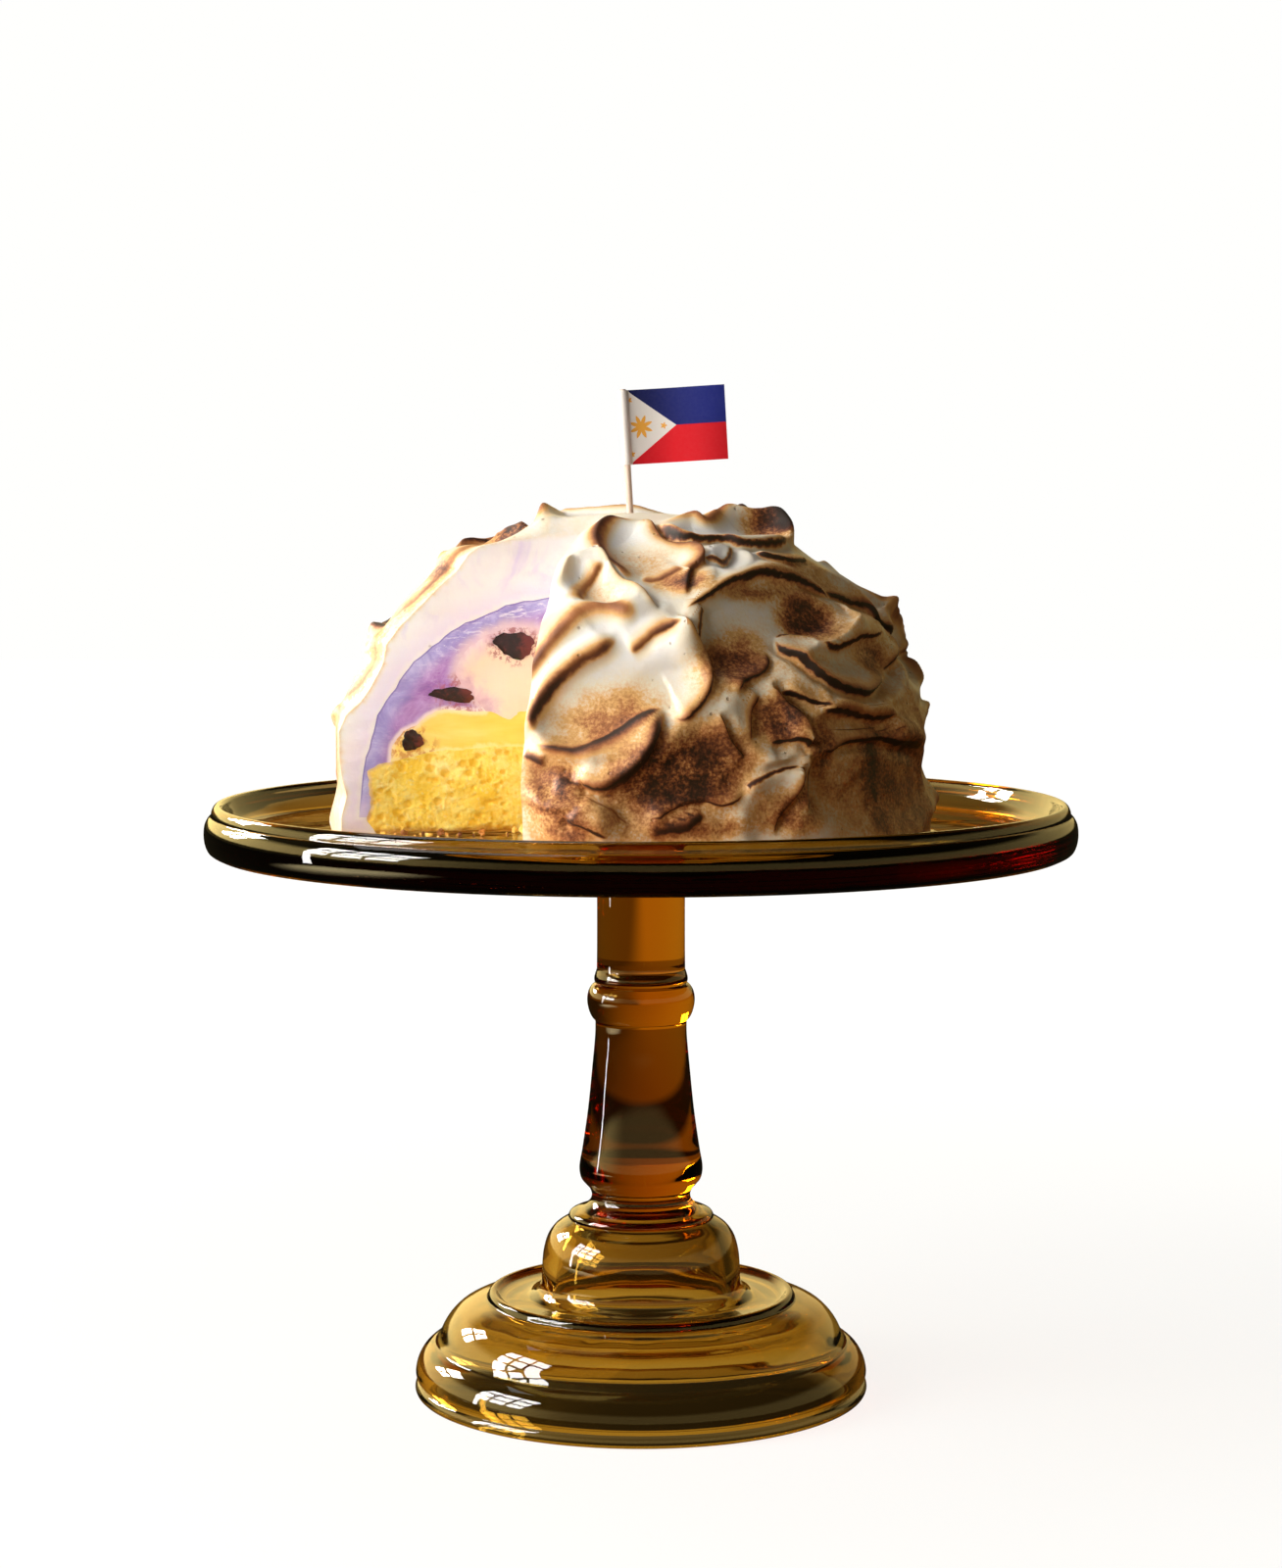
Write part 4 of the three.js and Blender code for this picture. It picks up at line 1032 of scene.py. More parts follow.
def fill_outline(outline, spacing):
    """Triangles inside an outline, with a staggered grid of points between its corners."""
    low, high = outline.min(0), outline.max(0)
    rows = np.arange(low[1] + spacing / 2, high[1], spacing * 0.87)
    grid = []
    for k, row in enumerate(rows):
        columns = np.arange(low[0] + spacing * (0.5 + 0.5 * (k % 2)), high[0], spacing)
        grid.append(np.stack([columns, np.full(len(columns), row)], 1))
    grid = np.vstack(grid)
    distance, _ = outline_distance(outline, grid)
    grid = grid[distance < -0.55 * spacing]
    points = [Vector(p) for p in np.vstack([outline, grid])]
    count = len(outline)
    edges = [(i, (i + 1) % count) for i in range(count)]
    verts, _, faces, origins, _, _ = delaunay_2d_cdt(points, edges, [], 1, 1e-5)
    return np.array([tuple(v) for v in verts]), faces, origins


def knife_cap(outline, rim_numbers, start, spacing):
    """New points inside a cut, numbered from the start, and the triangles that fill it."""
    points, triangles, origins = fill_outline(outline, spacing)
    numbers, added = [], []
    for point, origin in zip(points, origins):
        on_rim = [i for i in origin if i < len(outline)]
        if on_rim:
            numbers.append(rim_numbers[on_rim[0]])
        else:
            numbers.append(start + len(added))
            added.append(point)
    return np.array(added).reshape(-1, 2), [[numbers[i] for i in triangle] for triangle in triangles]


# %% Rings
def section_axes(azimuth, outward):
    """The directions out from the axis in a cut, and out of the cut itself."""
    radial = np.array([math.sin(azimuth), -math.cos(azimuth), 0])
    return radial, outward * np.array([math.cos(azimuth), math.sin(azimuth), 0])


def cut_ring(columns, azimuths, spacing, relief):
    """columns: [azimuth, outline point, xyz] in mm from the cake's axis, axis points first and last."""
    columns = columns.copy()
    last, rows = len(azimuths) - 1, columns.shape[1] - 2
    top = len(azimuths) * rows
    cuts = [(0, *section_axes(azimuths[0], -1.0)), (last, *section_axes(azimuths[last], 1.0))]
    for column, _, normal in cuts:
        r, h = np.hypot(columns[column, :, 0], columns[column, :, 1]), columns[column, :, 2]
        columns[column] += normal * knife_wave(r, h)[:, None]
    corners = [columns[:, 1:-1].reshape(-1, 3), columns[0, :1], columns[0, -1:]]
    faces = column_faces(len(azimuths), rows, closed=False)
    total = top + 2
    cap_depth, cap_edge = [np.zeros(total)], [np.zeros(total)]
    for column, radial, normal in cuts:
        outline = np.stack([columns[column] @ radial, columns[column, :, 2]], 1)
        rim_numbers = [top, *range(column * rows, (column + 1) * rows), top + 1]
        added, triangles = knife_cap(outline, rim_numbers, total, spacing)
        distance, _ = outline_distance(outline, added)
        depth = relief(added[:, 0], added[:, 1]) * smoothstep(0, 0.9, -distance)
        shift = knife_wave(added[:, 0], added[:, 1]) + depth
        flat = radial * added[:, :1] + np.array([0, 0, 1]) * added[:, 1:]
        corners.append(flat + normal * shift[:, None])
        cap_depth.append(depth)
        cap_edge.append(-distance)
        total += len(added)
        faces += [(a, b, c) if column == 0 else (a, c, b) for a, b, c in triangles]
    corners = np.vstack(corners) + np.array([CAKE_X, 0, PLATE_TOP])
    return corners, faces, np.concatenate(cap_depth), np.concatenate(cap_edge)


def swept(profile, azimuths):
    out = np.stack([np.sin(azimuths), -np.cos(azimuths)], -1)
    columns = np.empty((len(azimuths), len(profile), 3))
    columns[..., :2] = out[:, None, :] * profile[None, :, :1]
    columns[..., 2] = profile[None, :, 1]
    return columns


def border_marks(corners, borders):
    """For each border line, the distance to it in the cake's section, in millimetres."""
    section = np.stack([np.hypot(corners[:, 0] - CAKE_X, corners[:, 1]), corners[:, 2] - PLATE_TOP], 1)
    marks = {}
    for key, line in borders.items():
        steps = [np.linalg.norm(off_segment(section, a, b)[1], axis=1) for a, b in zip(line, line[1:])]
        marks[key] = np.min(steps, axis=0)
    return marks


# %% [markdown]
# ## Layers in section
# The layers share their borders, so each border is drawn once, as radius and height above the
# plate, and the outlines of the layers are put together from them.

# %% Borders between the layers
def dome_curve(radius, height, lowest, steps):
    angles = np.linspace(np.pi / 2, 0, steps + 1)
    r = radius * np.maximum(np.cos(angles), 0) ** (2 / DOME_POWER)
    h = height * np.maximum(np.sin(angles), 0) ** (2 / DOME_POWER)
    r[0] = 0
    return np.stack([r, h], 1)[h > lowest]


def wander(path, amount, seed):
    """Bends a border by hand-like waves that leave its two ends where they are."""
    path = np.asarray(path, float)
    length = np.concatenate([[0], np.cumsum(np.linalg.norm(np.diff(path, axis=0), axis=1))])
    t = length / length[-1]
    tangent = np.gradient(path, axis=0)
    tangent /= np.linalg.norm(tangent, axis=1, keepdims=True)
    across = np.stack([-tangent[:, 1], tangent[:, 0]], 1)
    wave = sum(share * np.sin(length * pitch + k * seed)
               for k, (share, pitch) in enumerate([(1, 0.31), (0.6, 0.83), (0.35, 1.9)], 1))
    return path + across * (amount * wave * np.minimum(1, 6 * t * (1 - t)))[:, None]


UBE_FOOT = (94.6, 6.5)
TAIL_TIP = (52.4, 42.3)
HEART_CORNER = (63.2, 55.4)
MANGO_EDGE = (86.2, 25.4)
SPONGE_CORNER = (94.5, 22.4)
ube_line = dome_curve(UBE_RADIUS, UBE_HEIGHT, UBE_FOOT[1], 44)
ube_skin = wander(np.vstack([ube_line, [[UBE_RADIUS, UBE_FOOT[1]]]]), 0.35, 7)
base_edge = np.array([UBE_FOOT, (94.3, 5), (92.4, 2.6), (91, GAP)])
heart_top, heart_low, heart_floor, mango_top, sponge_top, sponge_rim, sponge_side = (
    wander(smooth_path(points), amount, seed) for seed, amount, points in (
        (1, 0.35, [(0, 70.7), (25, 71.2), (40, 71), (47, 70.3), (54, 67.6), (61.2, 60.8), HEART_CORNER]),
        (2, 0.25, [HEART_CORNER, (60.6, 51.4), (57, 47.4), (54, 44.2), TAIL_TIP]),
        (3, 0.15, [TAIL_TIP, (49.8, 41.9), (46.5, 40), (44, 39.4), (41.6, 41), (39, 42.2), (20, 42.8),
                   (0, 43)]),
        (4, 0.25, [TAIL_TIP, (57.3, 42.4), (67.8, 42.8), (72.3, 41.6), (76.8, 38.3), (82, 35),
                   (85.6, 30.4), MANGO_EDGE]),
        (5, 0.25, [(0, 30.2), (25, 30.3), (50, 29.8), (62, 29.2), (74, 28), MANGO_EDGE]),
        (6, 0.3, [MANGO_EDGE, (90.4, 24.4), SPONGE_CORNER]),
        (8, 0.5, [SPONGE_CORNER, (93.6, 18), (94.2, 14), (93.2, 10), UBE_FOOT]),
    )
)



def joined(first, *others):
    """One line out of several, where each starts at the end of the one before it."""
    return np.vstack([first, *(line[1:] for line in others)])


heart_border = joined(heart_top, heart_low)
sponge_edge = joined(sponge_rim, sponge_side)
UBE_OUTLINE = np.vstack([
    ube_skin, [UBE_FOOT], joined(sponge_edge[::-1], mango_top[::-1], heart_border[::-1])[1:],
])
HEART_OUTLINE = joined(heart_border, heart_floor)
MANGO_OUTLINE = joined(heart_floor[::-1], mango_top, sponge_top[::-1])
SPONGE_OUTLINE = np.vstack([joined(sponge_top, sponge_edge, base_edge), [[0, GAP]]])
CAVITY = np.vstack([ube_skin, base_edge])
print("layer outlines", [len(o) for o in (UBE_OUTLINE, HEART_OUTLINE, MANGO_OUTLINE, SPONGE_OUTLINE)])

# %% [markdown]
# ## Meringue material
# Raw meringue is a soft white. Heat turns it cream, gold, brown and at last nearly black, so
# one value from 0 to 1 is enough, and a colour ramp does the rest. The value is built from the
# marks stored on the mesh, broken up by fine noise, because the browned skin is speckled. It
# also carries painted shade: the black lines in the deeper creases and the broad patches on the
# right third stand partly for shadow.

# %% Meringue
def bell(value, width):
    """1 where the value is 0, fading out within the width on either side."""
    share = value / width
    return (share * share * -1.0).math("EXPONENT")


def scorched_and_shaded(finish, speckle, patchy):
    """How dark the skin gets, from 0 to 1: heat on thin edges, scoops' lips and under the flame, and painted
    shade in the deeper creases and on the right third.
    """
    ragged = finish.mark("edge_side") + finish.noise(380.0, 2.0).between(0.2, 0.8, -0.3, 0.3)
    width = ragged.math("GREATER_THAN", 0.0) * 1.1 + 0.9
    glow = bell(ragged, width) * 0.5 + bell(finish.mark("edge_side"), 4.4) * 0.22
    uneven = patchy.between(0.3, 0.65, 0.75, 1.25)
    on_edge = glow * finish.mark("edge_brown") * uneven
    # The dark line along each fold: charring on thin crests, and painted shade where it is strong in the
    # deeper creases.
    on_line = bell(ragged - 0.2, 0.8) * finish.mark("edge_char_and_shade")
    blotch = finish.noise(130.0, 3.0, 0.55, 0.4)
    mottle = speckle.between(0.3, 0.7, 0.55, 1.0) + blotch.between(0.3, 0.7, -0.2, 0.25)
    on_patch = finish.mark("torch") * mottle
    on_lip = finish.mark("lip") * 0.8 * uneven
    burnt_and_shaded = on_edge.math("MAXIMUM", on_patch.math("MAXIMUM", on_lip))
    burnt_and_shaded = (burnt_and_shaded + on_edge.math("MINIMUM", on_patch) * 0.5).math("MAXIMUM", on_line)
    return burnt_and_shaded.math("ADD", patchy.between(0.5, 0.8, 0.0, 0.08), clamp=True)


def make_meringue():
    finish = Finish("torched_meringue", Roughness=0.5, Subsurface_Weight=0.12, Subsurface_Scale=0.004,
                    Subsurface_Radius=(1.0, 0.75, 0.55))
    cut = finish.mark("cut")
    speckle = finish.noise(900.0, 3.0, 0.65)
    burnt_and_shaded = scorched_and_shaded(finish, speckle, finish.noise(34.0, 2.0))
    skin = finish.ramp(
        burnt_and_shaded,
        (0.00, (0.90, 0.88, 0.85)), (0.12, (0.88, 0.77, 0.58)), (0.28, (0.78, 0.45, 0.16)),
        (0.46, (0.46, 0.175, 0.055)), (0.64, (0.18, 0.055, 0.020)), (0.80, (0.06, 0.020, 0.010)),
        (1.00, (0.02, 0.010, 0.006)),
    )
    smear = finish.noise(50.0, 5.0, 0.66, 1.0)
    inner = finish.ramp(
        smear, (0.36, (0.94, 0.93, 0.87)), (0.56, (0.91, 0.87, 0.85)), (0.72, (0.80, 0.72, 0.85)))
    inner = bleed(finish, inner, (0.78, 0.68, 0.88), finish.mark("to_ube"), (smear - 0.5) * 16.0,
                  0.0, 11.0, 0.55)
    feed(finish.shader.inputs["Roughness"], burnt_and_shaded.between(0.0, 1.0, 0.42, 0.62))
    bubbles = put(finish.tree, "ShaderNodeTexVoronoi", {"Vector": finish.place, "Scale": 210.0}).outputs
    burst = wire(finish.tree, "ShaderNodeSeparateColor", 0, {0: bubbles["Color"]}).math("GREATER_THAN", 0.72)
    pit = Wire(bubbles["Distance"]).between(0.06, 0.15, 1.0, 0.0) * burst * (cut * -1.0 + 1.0)
    skin = finish.mix(pit * 0.5, skin, (0.30, 0.14, 0.06))
    rough = finish.bump(finish.noise(1900.0, 2.0, 0.6) * 0.35 + speckle, 0.3, 0.0004)
    return finish.done(finish.mix(cut, skin, inner), pit, 0.8, 0.0006, rough, True)


MERINGUE = make_meringue()

# %% [markdown]
# ## The meringue dome
# The grid of columns is finer on the front, where the swirls show largest. Sideways lean fades
# out at the two cuts, so that the cut faces stay flat.

# %% Grid of the meringue
FRONT_STEP, BACK_STEP = 0.38, 1.7
FRONT_END = 96
SKIN_ROWS = 182
SOFTENING_PASSES = 3
KNIFE_OUTLINE = np.array([
    (0, 105), (15.7, 103.4), (29.8, 102.6), (43.8, 101.1), (54.5, 99), (58.4, 96.4), (62.2, 91),
    (68.5, 85.4), (75.6, 78.2), (82.6, 71.4), (87.3, 65.6), (88.6, 59), (93, 50.6), (96.6, 45.6),
    (101.4, 41.6), (104, 36), (104, 27), (103.2, 20), (101.5, 13.8), (103.4, 6.6), (103.4, -2),
])
KNIFE_REACH = 13.0
STILL_REACH = 8
SLICE_END = 360 + SLICE_LEFT
front_columns = np.arange(SLICE_RIGHT, FRONT_END, FRONT_STEP)
back_count = round((SLICE_END - FRONT_END - 1) / BACK_STEP)
back_columns = np.linspace(front_columns[-1] + BACK_STEP, SLICE_END, back_count)
meringue_azimuths = np.radians(np.concatenate([front_columns, back_columns]))


def swell_to_outline(rises):
    """How far the plain dome must swell to meet the outline of the left cut, row by row."""
    places, normals = dome_place(np.full(len(rises), np.pi / 2), rises)
    swells = []
    for place, normal in zip(places[:, [0, 2]], normals[:, [0, 2]]):
        offset = KNIFE_OUTLINE - place
        along, aside = offset @ normal, offset @ np.array([-normal[1], normal[0]])
        hits = [
            a + (b - a) * u / (u - v)
            for a, b, u, v in zip(along, along[1:], aside, aside[1:]) if u * v <= 0 and u != v
        ]
        swells.append(min(hits, key=abs) if hits else swells[-1] if swells else 0.0)
    return np.array(swells)


def soften(skin, weight):
    """Draws each inner point of the grid towards its four neighbours, where the weight says so."""
    middle = (skin[:-2, 1:-1] + skin[2:, 1:-1] + skin[1:-1, :-2] + skin[1:-1, 2:]) / 4
    share = 0.5 * np.clip(3 * weight[1:-1, 1:-1], 0, 1)
    skin[1:-1, 1:-1] = lerp(skin[1:-1, 1:-1], middle, share[..., None])


# %% Skin of the meringue
def meringue_skin(azimuths):
    rises = np.linspace(np.pi / 2, 0, SKIN_ROWS)
    grid_azimuth, grid_rise = np.meshgrid(azimuths, rises, indexing="ij")
    shape = grid_azimuth.shape
    azimuth = grid_azimuth.ravel()
    position, normal = dome_place(azimuth, grid_rise.ravel())
    swell, lean, lip = press_scoops(position, normal)
    marks = raise_folds(position, normal, swell, lean)
    heights = (position[:, 2] / DOME_HEIGHT) ** 2
    cover = lerp(DOME_RADIUS - UBE_RADIUS, DOME_HEIGHT - UBE_HEIGHT, heights) - LEAST_COVER
    swell = np.where(swell < 0, -cover * (1 - np.exp(np.minimum(swell, 0) / cover)), swell)
    to_knife = SLICE_END - np.degrees(grid_azimuth)
    at_knife = swell_to_outline(rises)[None, :]
    swell = lerp(swell.reshape(shape), at_knife, smoothstep(KNIFE_REACH, 0, to_knife)).ravel()

    degrees = np.degrees(azimuth)
    to_cut = np.minimum(degrees - SLICE_RIGHT, SLICE_END - degrees)
    arc = np.radians(to_cut) * np.hypot(position[:, 0], position[:, 1])
    sideways = np.stack([np.cos(azimuth), np.sin(azimuth), 0 * azimuth], 1)
    across = (lean * sideways).sum(1)
    lean -= sideways * (across * (1 - smoothstep(0, STILL_REACH, arc)))[:, None]

    push = normal * swell[:, None] + lean
    push[:, 2] *= smoothstep(0, STILL_REACH, position[:, 2])
    skin = (position + push + [0, 0, GAP]).reshape(*shape, 3)
    skin[:, 0] = skin[:, 0].mean(0)
    on_fold = np.maximum(marks["edge_brown"], marks["edge_char_and_shade"]).reshape(shape)
    for _ in range(SOFTENING_PASSES):
        soften(skin, on_fold)
    marks.update(lip=lip, torch=torch_marks(position, normal))
    return skin, {key: values.reshape(shape) for key, values in marks.items()}


def drag_marks(r, h):
    """The knife's shallow drag lines on the cut meringue."""
    long_waves = 0.35 * np.sin(0.9 * h + 0.4 * np.sin(0.2 * r)) * np.sin(0.11 * r + 0.3)
    return long_waves + 0.2 * np.sin(1.9 * h + 0.3 * r)


# %% Build the meringue
def build_meringue():
    skin, marks = meringue_skin(meringue_azimuths)
    columns = np.concatenate([skin, swept(CAVITY[::-1], meringue_azimuths)], axis=1)
    corners, faces, _, edge = cut_ring(columns, meringue_azimuths, 2.0, drag_marks)
    rows = columns.shape[1]
    ring_count = len(meringue_azimuths) * (rows - 2)

    def spread(values):
        """Marks of the skin's grid, given to the ring's corners. The cavity has none."""
        padded = np.zeros((len(meringue_azimuths), rows))
        padded[:, :SKIN_ROWS] = values
        total = np.zeros(len(corners))
        total[:ring_count] = padded[:, 1:-1].ravel()
        total[ring_count] = values[0, 0]
        return total

    on_cut = np.zeros(len(corners))
    on_cut[ring_count + 2:] = smoothstep(0.2, 1.2, edge[ring_count + 2:])
    attributes = {key: spread(values) for key, values in marks.items()}
    attributes.update(border_marks(corners, {"to_ube": ube_skin}), cut=on_cut)
    return new_piece("meringue_dome", corners, faces, MERINGUE, attributes)


meringue = build_meringue()
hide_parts("meringue")
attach(meringue, "root")

# %% [markdown]
# ## Ice cream, mango and sponge
# The four fillings differ in how a knife leaves them. Ice cream smears and pits, the mango layer
# is smooth with long drag lines, and sponge tears open into pores. Near each border a filling
# takes some of its neighbour's colour, which the shared border bleed does.

# %% Ube ice cream
def make_ube():
    finish = Finish("ube_ice_cream", Roughness=0.45, Subsurface_Weight=0.1, Subsurface_Scale=0.003)
    _, height = cake_place(finish.tree)
    mottled = finish.noise(75.0, 6.0, 0.66, 0.6)
    fine = finish.noise(420.0, 4.0, 0.7)
    scratch = finish.noise(160.0, 5.0, 0.7, 0.9, finish.stretched((1, 1, 3.5), (0, 0.5, 0)))
    purple = finish.ramp(
        mottled,
        (0.32, (0.25, 0.10, 0.40)), (0.46, (0.38, 0.19, 0.52)), (0.58, (0.52, 0.33, 0.66)),
        (0.72, (0.78, 0.66, 0.82)),
    )
    blue = finish.ramp(
        mottled, (0.30, (0.25, 0.20, 0.56)), (0.48, (0.40, 0.36, 0.70)), (0.66, (0.68, 0.67, 0.88)))
    uneven = (mottled - 0.5) * 9.0
    to_skin = finish.mark("to_skin")
    colour = bleed(finish, purple, blue, to_skin, uneven, 2.0, 8.5, 1.0)
    milky = scratch.between(0.50, 0.68) * (height.between(50.0, 74.0) * 0.75 + 0.15)
    colour = finish.mix(milky, colour, (0.90, 0.88, 0.93))
    for neighbour, distance, ragged, start, end, strength in (
        ((0.80, 0.62, 0.62), finish.mark("to_heart"), uneven * 0.5, 0.0, 4.2, 0.85),
        ((0.94, 0.80, 0.78), finish.mark("to_mango"), uneven * 0.25, 0.4, 1.9, 0.9),
        ((0.18, 0.13, 0.46), to_skin, 0.0, 0.1, 0.8, 0.8),
        ((0.84, 0.76, 0.90), height, uneven, 5.0, 17.0, 0.75),
    ):
        colour = bleed(finish, colour, neighbour, distance, ragged, start, end, strength)
    juice = stain(finish, 60.5, 48.0, 7.0, 3.0) * fine.between(0.45, 0.6) * 0.7
    return finish.done(finish.mix(juice, colour, (0.40, 0.06, 0.07)), mottled + fine * 0.4, 0.4, 0.0008)


# %% Coconut ice cream
def make_coconut():
    finish = Finish("coconut_ice_cream", Roughness=0.42, Subsurface_Weight=0.15, Subsurface_Scale=0.004)
    mottled = finish.noise(110.0, 6.0, 0.66, 0.6)
    fine = finish.noise(420.0, 4.0, 0.7)
    cream = finish.ramp(
        finish.noise(26.0, 3.0, 0.5, 0.5), (0.35, (0.90, 0.68, 0.46)), (0.65, (0.93, 0.77, 0.62)))
    blush = finish.ramp(
        mottled, (0.36, (0.66, 0.42, 0.50)), (0.52, (0.78, 0.58, 0.62)), (0.68, (0.86, 0.76, 0.80)))
    uneven = (mottled - 0.5) * 14.0
    colour = bleed(finish, cream, blush, finish.mark("to_ube"), uneven, 0.5, 7.5, 0.95)
    juice = stain(finish, 42.0, 65.0, 7.6, 2.2) * fine.between(0.46, 0.58) * 0.75
    return finish.done(finish.mix(juice, colour, (0.34, 0.055, 0.06)), mottled + fine * 0.3, 0.3, 0.0006)


# %% Mango
def make_mango():
    finish = Finish("mango", Roughness=0.38, Subsurface_Weight=0.15, Subsurface_Scale=0.004)
    streak = finish.noise(34.0, 3.0, 0.5, 0.3, finish.stretched((1, 1, 5)))
    speck = finish.noise(330.0, 3.0, 0.6)
    colour = finish.ramp(
        streak, (0.30, (1.0, 0.66, 0.09)), (0.50, (1.0, 0.72, 0.14)), (0.70, (1.0, 0.80, 0.25)))
    ragged = (speck - 0.5) * 4.0
    colour = bleed(finish, colour, (0.98, 0.84, 0.56), finish.mark("to_top"), ragged * 0.4, 0.3, 1.9, 0.7)
    colour = bleed(finish, colour, (1.0, 0.84, 0.36), finish.mark("to_sponge"), ragged, 0.2, 1.8, 0.8)
    syrup = stain(finish, 78.5, 31.0, 6.5, 2.8) * speck.between(0.47, 0.58) * 0.7
    return finish.done(finish.mix(syrup, colour, (0.62, 0.20, 0.02)), streak, 0.15, 0.0005)


# %% Sponge
def make_sponge():
    finish = Finish("sponge", Roughness=0.85, Subsurface_Weight=0.1, Subsurface_Scale=0.004)
    _, height = cake_place(finish.tree)
    crumb = finish.noise(620.0, 4.0, 0.7)
    cloudy = finish.noise(110.0, 4.0, 0.6)
    colour = finish.ramp(
        cloudy, (0.32, (0.98, 0.68, 0.06)), (0.50, (1.0, 0.77, 0.14)), (0.68, (1.0, 0.87, 0.32)))
    colour = finish.mix(crumb.between(0.52, 0.68, 0.0, 0.6), colour, (1.0, 0.89, 0.40))
    colour = finish.mix(crumb.between(0.48, 0.34, 0.0, 0.55), colour, (0.93, 0.58, 0.04))
    # Painted shade: the crumb turns a darker orange inside the pores, the more so the deeper they go.
    colour = finish.mix(finish.mark("pit").between(0.08, 0.6, 0.0, 0.75), colour, (0.88, 0.52, 0.02))
    ragged = (cloudy - 0.5) * 7.0
    colour = bleed(finish, colour, (0.52, 0.22, 0.03), height, ragged, 1.0, 3.0, 0.75)
    colour = bleed(finish, colour, (0.90, 0.66, 0.40), finish.mark("to_side"), ragged * 0.4, 0.2, 1.6, 0.7)
    return finish.done(colour, crumb, 0.8, 0.0009)


UBE, COCONUT, MANGO, SPONGE = make_ube(), make_coconut(), make_mango(), make_sponge()

# %% Build the layers
LAYER_COLUMNS = 62
PORES = 900
SPONGE_SECTION = (96, 31)
layer_azimuths = np.radians(np.linspace(SLICE_RIGHT, SLICE_END, LAYER_COLUMNS))


def make_waves(amount, fine, seed):
    def waves(r, h):
        broad = np.sin(0.35 * r + 0.2 * h + seed) * np.sin(0.4 * h - 0.15 * r + 2 * seed)
        close = np.sin(fine * r + 0.7 * fine * h + seed) * np.sin(0.8 * fine * h - 0.5 * fine * r)
        return amount * (broad + 0.6 * close)
    return waves


def make_pores(seed):
    """Sponge crumb: hundreds of small round pits of several sizes."""
    draw_from = np.random.default_rng(seed)
    centres = draw_from.uniform((0, 0), SPONGE_SECTION, (PORES, 2))
    sizes = 0.35 + 1.6 * draw_from.random(PORES) ** 5

    def pores(r, h):
        depth = np.zeros(len(r))
        for (x, y), size in zip(centres, sizes):
            d = np.hypot(r - x, (h - y) * 1.15) / size
            depth = np.minimum(depth, -0.55 * size * np.clip(1 - d * d, 0, 1))
        crumb = 0.16 * np.sin(2.7 * r + 1.3 * h) * np.sin(2.1 * h - 1.7 * r)
        return depth + crumb + 0.25 * np.sin(0.4 * r) * np.sin(0.5 * h + 1)
    return pores


def build_layer(name, outline, material, replaced, spacing, relief, borders):
    columns = swept(outline, layer_azimuths)
    corners, faces, depth, _ = cut_ring(columns, layer_azimuths, spacing, relief)
    marks = border_marks(corners, borders)
    piece = new_piece(name, corners, faces, material, {"pit": np.clip(-depth, 0, 1), **marks})
    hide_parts(replaced)
    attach(piece, "root")


build_layer("ube_layer", UBE_OUTLINE, UBE, "ube_ice_cream", 1.0, make_waves(0.16, 1.7, 1),
            {"to_skin": ube_skin, "to_heart": heart_border, "to_mango": mango_top})
build_layer("coconut_heart", HEART_OUTLINE, COCONUT, "coconut_ice_cream", 1.1,
            make_waves(0.12, 1.4, 2), {"to_ube": heart_border})
build_layer("mango_filling", MANGO_OUTLINE, MANGO, "mango_layer", 1.2, make_waves(0.08, 0.9, 3),
            {"to_top": mango_top, "to_sponge": sponge_top})
build_layer("sponge_base", SPONGE_OUTLINE, SPONGE, "sponge_cake", 0.62, make_pores(4),
            {"to_side": sponge_edge})

# %% [markdown]
# ## Cherries
# Dark cherries lie in the ice cream, and the knife halved some of them. Each is a squashed ball
# pressed flat just in front of the cut, so that its face stands a hair proud. A row gives its
# cut, its place in the section, its length and height, its tilt and how juicy its flesh is.

# %% Cherry flesh
CHERRIES = [
    (SLICE_LEFT, 42, 65.2, 14, 9, 10, 0.35),
    (SLICE_LEFT, 64, 48.2, 16, 5, 6, 0.3),
    (SLICE_LEFT, 78.5, 32.6, 7.5, 7, -20, 0.0),
    (SLICE_RIGHT, 36, 55, 13, 9, -15, 0.3),
    (SLICE_RIGHT, 70, 35.6, 10, 6, 0, 0.1),
]
CHERRY_DEPTH = 9
FACE_BULGE, FACE_MIDDLE = 0.75, 0.53
CHERRY_RINGS, CHERRY_SIDES = 18, 36


def make_cherry_flesh():
    finish = Finish("cherry_flesh", Roughness=0.4)
    fibres = finish.noise(260.0, 4.0, 0.6, 0.5)
    colour = finish.ramp(
        fibres, (0.40, (0.006, 0.002, 0.002)), (0.56, (0.022, 0.004, 0.004)), (0.74, (0.16, 0.016, 0.012)))
    juicy = (finish.mark("juice") + (fibres - 0.5) * 1.2).between(0.35, 0.95)
    return finish.done(finish.mix(juicy, colour, (0.13, 0.014, 0.012)), fibres, 0.5, 0.0006)


CHERRY = make_cherry_flesh()


# %% Build the cherries
def cherry_ball(number, long, tall):
    """A squashed, lumpy ball, column by column, and nearly flat on the side of the knife."""
    theta = np.linspace(0, np.pi, CHERRY_RINGS + 1)[1:-1]
    phi = np.linspace(0, 2 * np.pi, CHERRY_SIDES, endpoint=False)
    grid_phi, grid_theta = np.meshgrid(phi, theta, indexing="ij")
    rough = 1 + 0.12 * np.sin(3 * grid_phi + number) * np.sin(grid_theta)
    rough += 0.05 * np.sin(7 * grid_phi + 2 * number) + 0.035 * np.sin(13 * grid_phi + 3 * number)
    x = np.sin(grid_theta) * np.cos(grid_phi) * rough * long / 2
    y = np.sin(grid_theta) * np.sin(grid_phi) * rough * tall / 2
    z = np.cos(grid_theta) * CHERRY_DEPTH / 2
    z = np.where(z > 0, FACE_BULGE * np.sqrt(np.maximum(z, 0) / CHERRY_DEPTH), z)
    z += np.where(z > 0, 0.12 * np.sin(1.9 * x + number) * np.sin(2.3 * y), 0)
    return x, y, z


